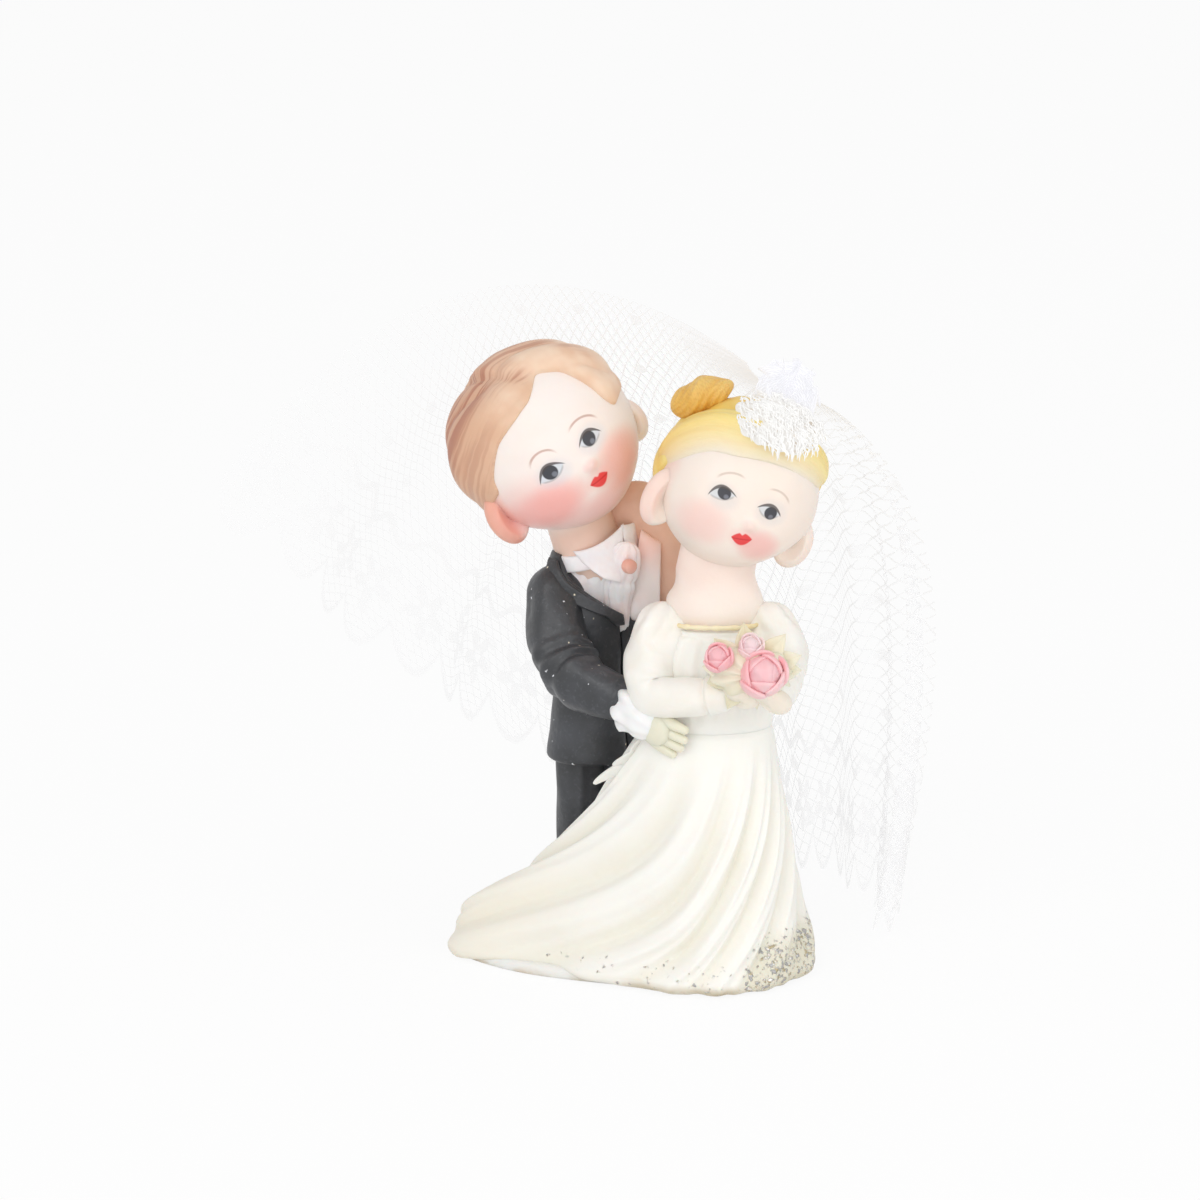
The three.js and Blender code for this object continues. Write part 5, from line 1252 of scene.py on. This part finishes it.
legGrids = []
for label, side in (("Right", -1), ("Left", 1)):
    x = groom["x"] + 0.5 * side * legs["spacing"]

    def shoePoint(t, angle, x=x):
        long_ = legs["shoeLength"]
        reach = np.sqrt(np.maximum(0.02, 1 - t ** 3))
        reach = reach * (1 + 0.05 * bell(t - 0.1, 0.08) - 0.06 * bell(t - 0.24, 0.05))
        toe = 1 - 0.10 * np.abs(np.sin(angle)) * np.abs(np.cos(angle))
        return stack(x + 0.36 * long_ * reach * toe * np.cos(angle),
                     groom["y"] - 0.08 * long_ + 0.5 * long_ * reach * np.sin(angle),
                     gown["foot"] + legs["shoeHeight"] * t)

    addPiece(f"groom{label}Shoe", [closed(shoePoint, 41, 97)], trouserPaint)
    ankle = np.array([x, groom["y"], gown["foot"] + 0.7 * legs["shoeHeight"] + 1.4])
    hip = np.array([lerp(groom["x"], x, 0.9), groom["y"], groom["legTop"]])
    legGrids.append(limb([ankle, hip], [0.95 * legs["radius"], 1.1 * legs["radius"]], side=(1, 0, 0),
                         rings=90, around=72, swell=trouserFolds))
addPiece("groomTrousers", legGrids, trouserPaint)

# groom's arms: the right one round to the front of the bride's waist, the left one across the back;
# the left shoulder is shifted back, because the bride stands before it
groomArm = {"sleeve": 3.0, "elbow": 2.9, "wrist": 2.0, "cuffLength": 1.5, "cuff": 2.25, "hand": 1.9}
handPaint = paintedResin("groomHandPaint")
whitePaint = paintedResin("whitePaint")
armPlans = {"Right": {"level": 0.8, "side": -math.pi / 2, "shift": (0, 0, 0), "share": 1.0, "rest": 222,
                      "offset": (-0.9, -1.1, 0.6), "reach": (2.1, -2.4, -1.5),
                      "fingers": (2.6, -1.0, -1.5), "bend": (-2.3, -0.2, -2.2)},
            "Left": {"level": 0.72, "side": math.pi / 2, "shift": (-1.2, 1.0, -1.2), "share": 0.75,
                     "rest": 70, "offset": (0.5, 1.6, 2.5), "reach": (3.2, -0.9, -0.8),
                     "fingers": (1.35, -0.38, -0.34), "bend": (2.2, 1.8, -1.6)}}


# hand: a flat palm, and four fingers that fan out from the knuckles
def groomHand(wristEnd, knuckles, fingers, outward):
    size = groomArm["hand"]
    across = unit(np.cross(fingers, outward))
    grids = [limb([wristEnd, knuckles], [0.75 * size, size], side=outward, flat=0.6)]
    for place in (-1.5, -0.5, 0.5, 1.5):
        root = knuckles + across * 0.48 * place * size
        tip = root + np.array(fingers) * (1 - 0.06 * place ** 2) + across * 0.1 * place * size
        path = [root, lerp(root, tip, 0.5) + outward * 0.15, tip]
        grids.append(limb(path, [0.34 * size, 0.31 * size, 0.24 * size], side=outward, rings=24, around=24))
    return grids


def suitSleeveFolds(s, a):  # creases inside the elbow, a long soft fold, a stitched hem
    creases = 0.07 * np.sin(46 * s + 1.6 * np.sin(a + 1)) * bell(s - 0.58, 0.17)
    pull = 0.05 * np.sin(3 * a + 8 * s) + 0.03 * np.sin(5 * a - 11 * s)
    return creases + pull - 0.05 * bell(s - 0.94, 0.012)


def cuffFrill(s, a):  # gathers, and a frill that is widest by the sleeve
    return 0.04 * np.cos(9 * a + 2 * s) + 0.32 * (1 - s) ** 2 * np.abs(np.cos(3.5 * a)) ** 3


for label, plan in armPlans.items():
    shoulder = groomTorso(np.array(plan["level"]), np.array(plan["side"]), -0.3 * groomArm["sleeve"])
    reach, bend = np.array(plan["reach"]), np.array(plan["bend"])
    rest = gownSide(plan["rest"], 1) + plan["offset"]
    outward = np.array([math.cos(math.radians(plan["rest"])), math.sin(math.radians(plan["rest"])), 0])
    wrist = rest - reach
    elbow = lerp(shoulder, wrist, 0.55) + bend
    upper = lerp(shoulder, elbow, 0.5) + 0.3 * bend
    along = unit(reach)
    cuffFoot = wrist + along * 0.2 * groomArm["wrist"]
    hand = groomHand(wrist + along * groomArm["cuffLength"], rest, plan["fingers"], outward)
    cuff = limb([cuffFoot, cuffFoot + along * groomArm["cuffLength"]], [groomArm["cuff"]] * 2, around=96,
                swell=cuffFrill)
    thick = plan["share"] * groomArm["sleeve"]
    sleeve = limb([shoulder + plan["shift"], upper, elbow, wrist],
                  [thick, thick, groomArm["elbow"], groomArm["wrist"]],
                  rings=150, around=80, swell=suitSleeveFolds)
    addPiece(f"groom{label}Hand", hand, handPaint)
    addPiece(f"groom{label}Cuff", [cuff], whitePaint)
    addPiece(f"groom{label}Sleeve", [sleeve], suitPaint)
print("groom ready")


# veil: lines of lace leave the gather at their own plan angles, arch over the groom and fall to the hem
veil = {"reachLeft": 60, "reachBack": 22, "reachRight": 11, "swell": 6, "hemLift": 42, "headroom": 4.2,
        "bow": 24, "floorGap": 0.8, "pleats": 9, "pleatDepth": 1.5, "gather": 2.5, "netWide": 1.05,
        "netLong": 1.7, "scallops": 30, "fan": (164, 20),
        "white": (0.60, 0.60, 0.61), "shade": (0.54, 0.54, 0.55)}
gatherRise = bride["headRadius"] + 0.9 + 0.4 * veil["gather"]
gatherSeat = toWorld(unit((0, 1, -0.1)) * gatherRise, brideAxes, brideCentre)


def fanAngle(u):  # plan angle of a line of lace
    return np.radians(lerp(*veil["fan"], u ** 1.15))


def hemHeight(u):  # lifted on the left, near the floor on the right
    return veil["floorGap"] + veil["hemLift"] * (1 - u) ** 4


overGroom = np.hypot(*(groomCentre - gatherSeat)[:2]) / veil["reachLeft"]
archTop = groomCentre[2] + groom["headRadius"] + 1.1 + veil["headroom"]
arch = (archTop - gatherSeat[2] + (gatherSeat[2] - hemHeight(0)) * overGroom) / (overGroom * (1 - overGroom))


def veilPoint(u, v):
    s = lerp(veil["gather"] / 40, 1, v)
    left = 1 - u
    reach = veil["reachRight"] + (veil["reachBack"] - veil["reachRight"]) * np.sin(math.pi * u)
    reach = reach + (veil["reachLeft"] - veil["reachRight"]) * left ** 3
    out = reach * (1 - (1 - s) ** lerp(1.05, 2.3, u)) + veil["swell"] * u ** 2 * np.sin(math.pi * s)
    fall = (gatherSeat[2] - hemHeight(u)) * s ** lerp(1, 1.6, np.sqrt(u))
    rise = arch * left ** 2 * s * (1 - s)
    bow = veil["bow"] * left * s * (1 - s)
    pleat = veil["pleatDepth"] * ease(s, 0.05, 0.7) * np.cos(turn * veil["pleats"] * u)
    pleat = pleat + 0.28 * ease(s, 0.02, 0.2) * (1 - 0.6 * s) * np.cos(turn * 2.6 * veil["pleats"] * u + 2)
    a = fanAngle(u)
    far = out + pleat
    return stack(gatherSeat[0] + np.cos(a) * far, gatherSeat[1] + np.sin(a) * far + bow,
                 gatherSeat[2] + rise - fall)


# thin net passes light, so a faint glow of its own stands for what comes through from behind
thinNet = {"Sheen Weight": 0.25, "Specular IOR Level": 0.2, "Emission Color": (0.96, 0.96, 0.97, 1),
           "Emission Strength": 0.4}


def netThread(line, outer, inner):  # 1 along whole numbers of a line, fading from inner to outer
    return ((line.fract() - 0.5).size() * 2).step(outer, inner)


# white lace: a diamond net of thin thread, spots in it, a worked border and a scalloped edge
def laceMaterial():
    wire = newMaterial("veilLace", thinNet)
    x, y, _ = wire.own().parts()
    along, across = wire.mark("along"), wire.mark("across")
    sway = wire.noise(9.0, 2, wire.own()) - 0.5
    x, y = x * 100 + sway * 1.2, y * 100 + sway * 0.9
    first, second = x * (1 / veil["netWide"]), y * (1 / veil["netLong"])
    net = netThread(first + second, 0.82, 0.919).most(netThread(first - second, 0.82, 0.919))
    spotX = ((x * 0.16).fract() - 0.5) * 6.2
    spotY = ((y * 0.16).fract() - 0.5) * 6.2
    spots = (spotX * spotX + spotY * spotY).step(0.55, 0.3)
    cell = across * veil["scallops"]
    cx = cell.fract() - 0.5
    edge = along - 1 + cx * cx * 0.18
    keep = edge.step(0.004, -0.004)
    rim = edge.size().step(0.012, 0.006)
    fx, fy = cx * 2.1, (along - 0.915) * 24
    far = (fx * fx + fy * fy) ** 0.5
    around_ = fy.math("ARCTAN2", fy, fx)
    flower = (far - 0.62 - 0.3 * (around_ * 5).sin()).step(0.04, -0.04) * far.step(0.16, 0.22)
    stem = (along - 0.835 + 0.012 * (across * (turn * veil["scallops"])).sin()).size().step(0.008, 0.004)
    border = flower.most(stem).most(rim)
    close = along.step(0.2, 0.02) * 0.5  # cloth crowded together by the gather
    faint = 1 - 0.45 * along.step(0.3, 0.75) * across.step(0.45, 0.1)
    alpha = (net * 0.5).most(spots * 0.3).most(border * 0.42).most(close) * keep * faint
    fine = wire.noise(4000, 2)
    return wire.feed(colour=fine.blend(veil["white"], veil["shade"]), rough=0.75 + fine * 0.2, alpha=alpha)


veilRows, veilCols = 140, 361
v, u = spread(veilRows, veilCols)
lace = veilPoint(u, v)
# flat layout for the net: each line of lace at its own length, turned by the run of the hem
down = np.linalg.norm(np.diff(lace, axis=0), axis=2)
hem = np.linalg.norm(np.diff(lace[-1], axis=0), axis=1)
lengths = np.concatenate([np.zeros((1, veilCols)), np.cumsum(down, 0)]) + 2.0
hemStep = hem / (0.5 * (lengths[-1, 1:] + lengths[-1, :-1]))
flatAngle = np.concatenate([[0], np.cumsum(hemStep)])
flatLace = np.stack([lengths * np.cos(flatAngle), lengths * np.sin(flatAngle)], -1)
veilPiece = addPiece("veilLace", [lace], laceMaterial(),
                     {"along": [v + 0 * u], "across": [u + 0 * v]}, [flatLace / 100], ["veil"], flip=False)

# tulle puff: rippled cones of net, one inside another, standing up from the gather
puff = {"layers": 4, "length": 3.9, "white": (0.60, 0.60, 0.62), "shade": (0.54, 0.54, 0.57), "solid": 0.85}


def tulleMaterial():
    wire = newMaterial("tulleNet", thinNet)
    x, y, _ = wire.own().parts()
    net = netThread(x * 34 + y * 9, 0.62, 0.9).most(netThread(x * 34 - y * 9, 0.62, 0.9))
    fine = wire.noise(3500, 2)
    return wire.feed(colour=fine.blend(puff["white"], puff["shade"]), rough=0.75 + fine * 0.2,
                     alpha=(net * (1 - puff["solid"]) + puff["solid"]).least(1.0))


puffAxes = axesRound(brideAxes[1] * 0.75 + np.array([0.25, 0.1, 0.85]), (0, 1, 0))
v, u = spread(24, 161)
a = u * turn
puffGrids = []
for k in range(puff["layers"]):
    ripple = 0.30 * np.sin((5 + k) * a + 1.7 * k) + 0.12 * np.sin(13 * a + k)
    polar = math.radians(12 + 22 * k) + ripple * v
    ragged = 1 + 0.13 * np.sin(3 * a + 2 * k) + 0.06 * np.sin(17 * a)
    r = puff["length"] * v * ragged * (1 - 0.07 * k)
    puffGrids.append(gatherSeat - puffAxes[0] * 0.8 + polarPoint(puffAxes, r, polar, a))
puffPiece = addPiece("veilPuff", puffGrids, tulleMaterial(), nodes=["veil_gather"], flip=False)

# frayed end of the lace over the bride's hair: a rippled patch on the head, with loose threads on it
frayed = {"at": (-0.06, 0.93, 0.38), "wide": 4.3, "long": 3.7, "above": 1.75, "threads": 560,
          "thread": 0.085, "threadLong": (0.6, 1.5), "seed": 7, "white": (0.69, 0.675, 0.65),
          "shade": (0.60, 0.58, 0.55), "hole": (0.42, 0.32, 0.21)}
patchAxis = unit(frayed["at"])
imageDown = brideAxes @ np.array([0.12, -0.26, -0.96])
patchDown = unit(imageDown - patchAxis * (patchAxis @ imageDown))
patchSide = np.cross(patchDown, patchAxis)


def onPatch(a, b, above):  # a point over the head, a aside and b down from the patch's middle
    d = unit(patchAxis * bride["headRadius"] + patchSide * a[..., None] + patchDown * b[..., None])
    return d * (bride["headRadius"] * 0.97 + above)[..., None]


def patchRipple(a, b):
    ripple = 0.22 * np.sin(1.7 * a + 0.9 * b) + 0.16 * np.sin(2.9 * b - 1.3 * a + 1)
    return ripple + 0.10 * np.sin(4.1 * a + 3.3 * b)


# white lace worked with rows of small holes, painted as warm dark dots: the hair below, in painted shade
def laceEndMaterial():
    wire = newMaterial("laceEndNet", {**thinNet, "Emission Strength": 0.25})
    dots = {"Vector": wire.place(), "Scale": 1150.0, "Randomness": 0.6}
    holes = wire.node("ShaderNodeTexVoronoi", None, dots).step(0.42, 0.2)
    fine = wire.noise(3200, 3)
    colour = (holes * 0.75).blend(fine.blend(frayed["white"], frayed["shade"]), frayed["hole"])
    return wire.feed(colour=colour, rough=0.75 + fine * 0.2)


v, u = spread(40, 161)
scallop = v * (1 + 0.05 * np.sin(13 * u * turn) + 0.04 * np.sin(5 * u * turn))
patchA, patchB = frayed["wide"] * scallop * np.cos(u * turn), frayed["long"] * scallop * np.sin(u * turn)
patch = onPatch(patchA, patchB, frayed["above"] + patchRipple(patchA, patchB) - 0.5 * v ** 6)
rng = np.random.default_rng(frayed["seed"])
count = frayed["threads"]
t = np.linspace(0, 1, 7)[None, :]
start = rng.uniform(-1.0, 1.0, count)[:, None] * math.pi
from_ = rng.uniform(0.0, 1.0, count)[:, None] ** 0.5
rootA, rootB = frayed["wide"] * from_ * np.cos(start), frayed["long"] * from_ * np.sin(start)
long_ = rng.uniform(*frayed["threadLong"], count)[:, None]
lean = rng.uniform(-0.35, 0.5, count)[:, None]
lift = rng.uniform(0.1, 0.6, count)[:, None]
threadA = rootA + lean * long_ * t + 0.08 * np.sin(7 * t + 9 * lean)
threadB = rootB + long_ * t
height = frayed["above"] + patchRipple(rootA, rootB) + 0.1 + lift * np.sin(2.2 * t) - 0.3 * t ** 2
spine = onPatch(threadA, threadB, height)
ahead = unit(np.gradient(spine, axis=1))
lateral = unit(np.cross(ahead, unit(spine)))
upward = np.cross(lateral, ahead)
ring = np.linspace(0, turn, 5)
width = frayed["thread"] * np.sin(math.pi * lerp(0.12, 0.97, t)) ** 0.5
tubes = swept(spine, lateral, upward, width[..., None] * np.cos(ring), width[..., None] * np.sin(ring))
# the loose threads glow faintly as well, painted light for what comes through them
threadFixed = {**resinFixed, **thinNet, "Subsurface Weight": 0.0, "Emission Strength": 0.3}
threadPaint = paintedResin("laceThread", rough=0.7, fixed=threadFixed)
patchPiece = addPiece("laceEnd", [toWorld(patch, brideAxes, brideCentre)], laceEndMaterial(),
                      nodes=["veil_rosette"], flip=False)
threadPiece = addPiece("laceThreads", [toWorld(g, brideAxes, brideCentre) for g in tubes], threadPaint,
                       nodes=())
print("veil ready")


# stage: a white floor that keeps the shadow, a white world for what the camera sees, soft studio light
stage = {"floor": 6.0, "floorWhite": 0.9, "dome": 0.63, "target": (-3.0, 0.0, 36.7), "distance": 420,
         "elevation": 15, "lens": 126, "lampAim": (0.0, 0.0, 0.03),
         "lamps": {"keyLamp": {"at": (-0.28, -0.42, 0.45), "size": 0.35, "power": 0.98},
                   "fillLamp": {"at": (0.45, -0.30, 0.30), "size": 0.40, "power": 0.62},
                   "frontLamp": {"at": (0.05, -0.60, 0.03), "size": 0.40, "power": 0.85}}}
floorMesh = bpy.data.meshes.new("floor")
half = stage["floor"] / 2
corners = [(-half, -half, 0), (half, -half, 0), (half, half, 0), (-half, half, 0)]
floorMesh.from_pydata(corners, [], [(0, 1, 2, 3)])
floor = bpy.data.objects.new("floor", floorMesh)
bpy.context.scene.collection.objects.link(floor)
wire = newMaterial("floorWhite", {"Base Color": (0.96, 0.96, 0.96, 1), "Roughness": 0.9,
                                  "Specular IOR Level": 0.1})
floorMesh.materials.append(wire.material)


def seenRay(wire):  # 1 for what the camera, mirrors and glass show
    rays = wire.node("ShaderNodeLightPath").socket.node
    names = ("Is Camera Ray", "Is Glossy Ray", "Is Transmission Ray")
    camera, glossy, through = [Wire(wire.tree, rays.outputs[name]) for name in names]
    return camera.most(glossy).most(through)


plain = wire.node("ShaderNodeEmission", None, {"Color": (1, 1, 1, 1), "Strength": 1.0})
surface = Wire(wire.tree, wire.tree.nodes["Principled BSDF"].outputs[0])
shown = seenRay(wire) * stage["floorWhite"]
mixed = wire.node("ShaderNodeMixShader", None, {0: shown, 1: surface, 2: plain})
wire.tree.links.new(mixed.socket, wire.tree.nodes["Material Output"].inputs[0])
world = bpy.data.worlds.new("studio")
bpy.context.scene.world = world
world.use_nodes = True
wire = Wire(world.node_tree)
seen = seenRay(wire)
sky = world.node_tree.nodes["Background"]
sky.inputs[0].default_value = (1, 1, 1, 1)
world.node_tree.links.new((seen * (1 - stage["dome"]) + stage["dome"]).socket, sky.inputs[1])
for name, plan in stage["lamps"].items():
    lamp = bpy.data.lights.new(name, "AREA")
    lamp.size = plan["size"]
    lamp.energy = plan["power"]
    made = bpy.data.objects.new(name, lamp)
    bpy.context.scene.collection.objects.link(made)
    away = unit(np.array(plan["at"]) - stage["lampAim"])
    sideways = unit(np.cross((0, 0, 1), away))
    aimed = Matrix(np.array([sideways, np.cross(away, sideways), away]).T.tolist()).to_quaternion()
    made.matrix_world = Matrix.LocRotScale(plan["at"], aimed, None)
camera = bpy.data.cameras.new("camera")
camera.sensor_width = 36
camera.lens = stage["lens"]
camera.clip_start = 0.01
view = bpy.data.objects.new("camera", camera)
bpy.context.scene.collection.objects.link(view)
lift = math.radians(stage["elevation"])
back = np.array([0, -math.cos(lift), math.sin(lift)])
view.location = (np.array(stage["target"]) + stage["distance"] * back) * mm
view.rotation_euler = (math.pi / 2 - lift, 0, 0)
bpy.context.scene.camera = view
bpy.context.scene.view_settings.view_transform = "Standard"

print("scene ready")
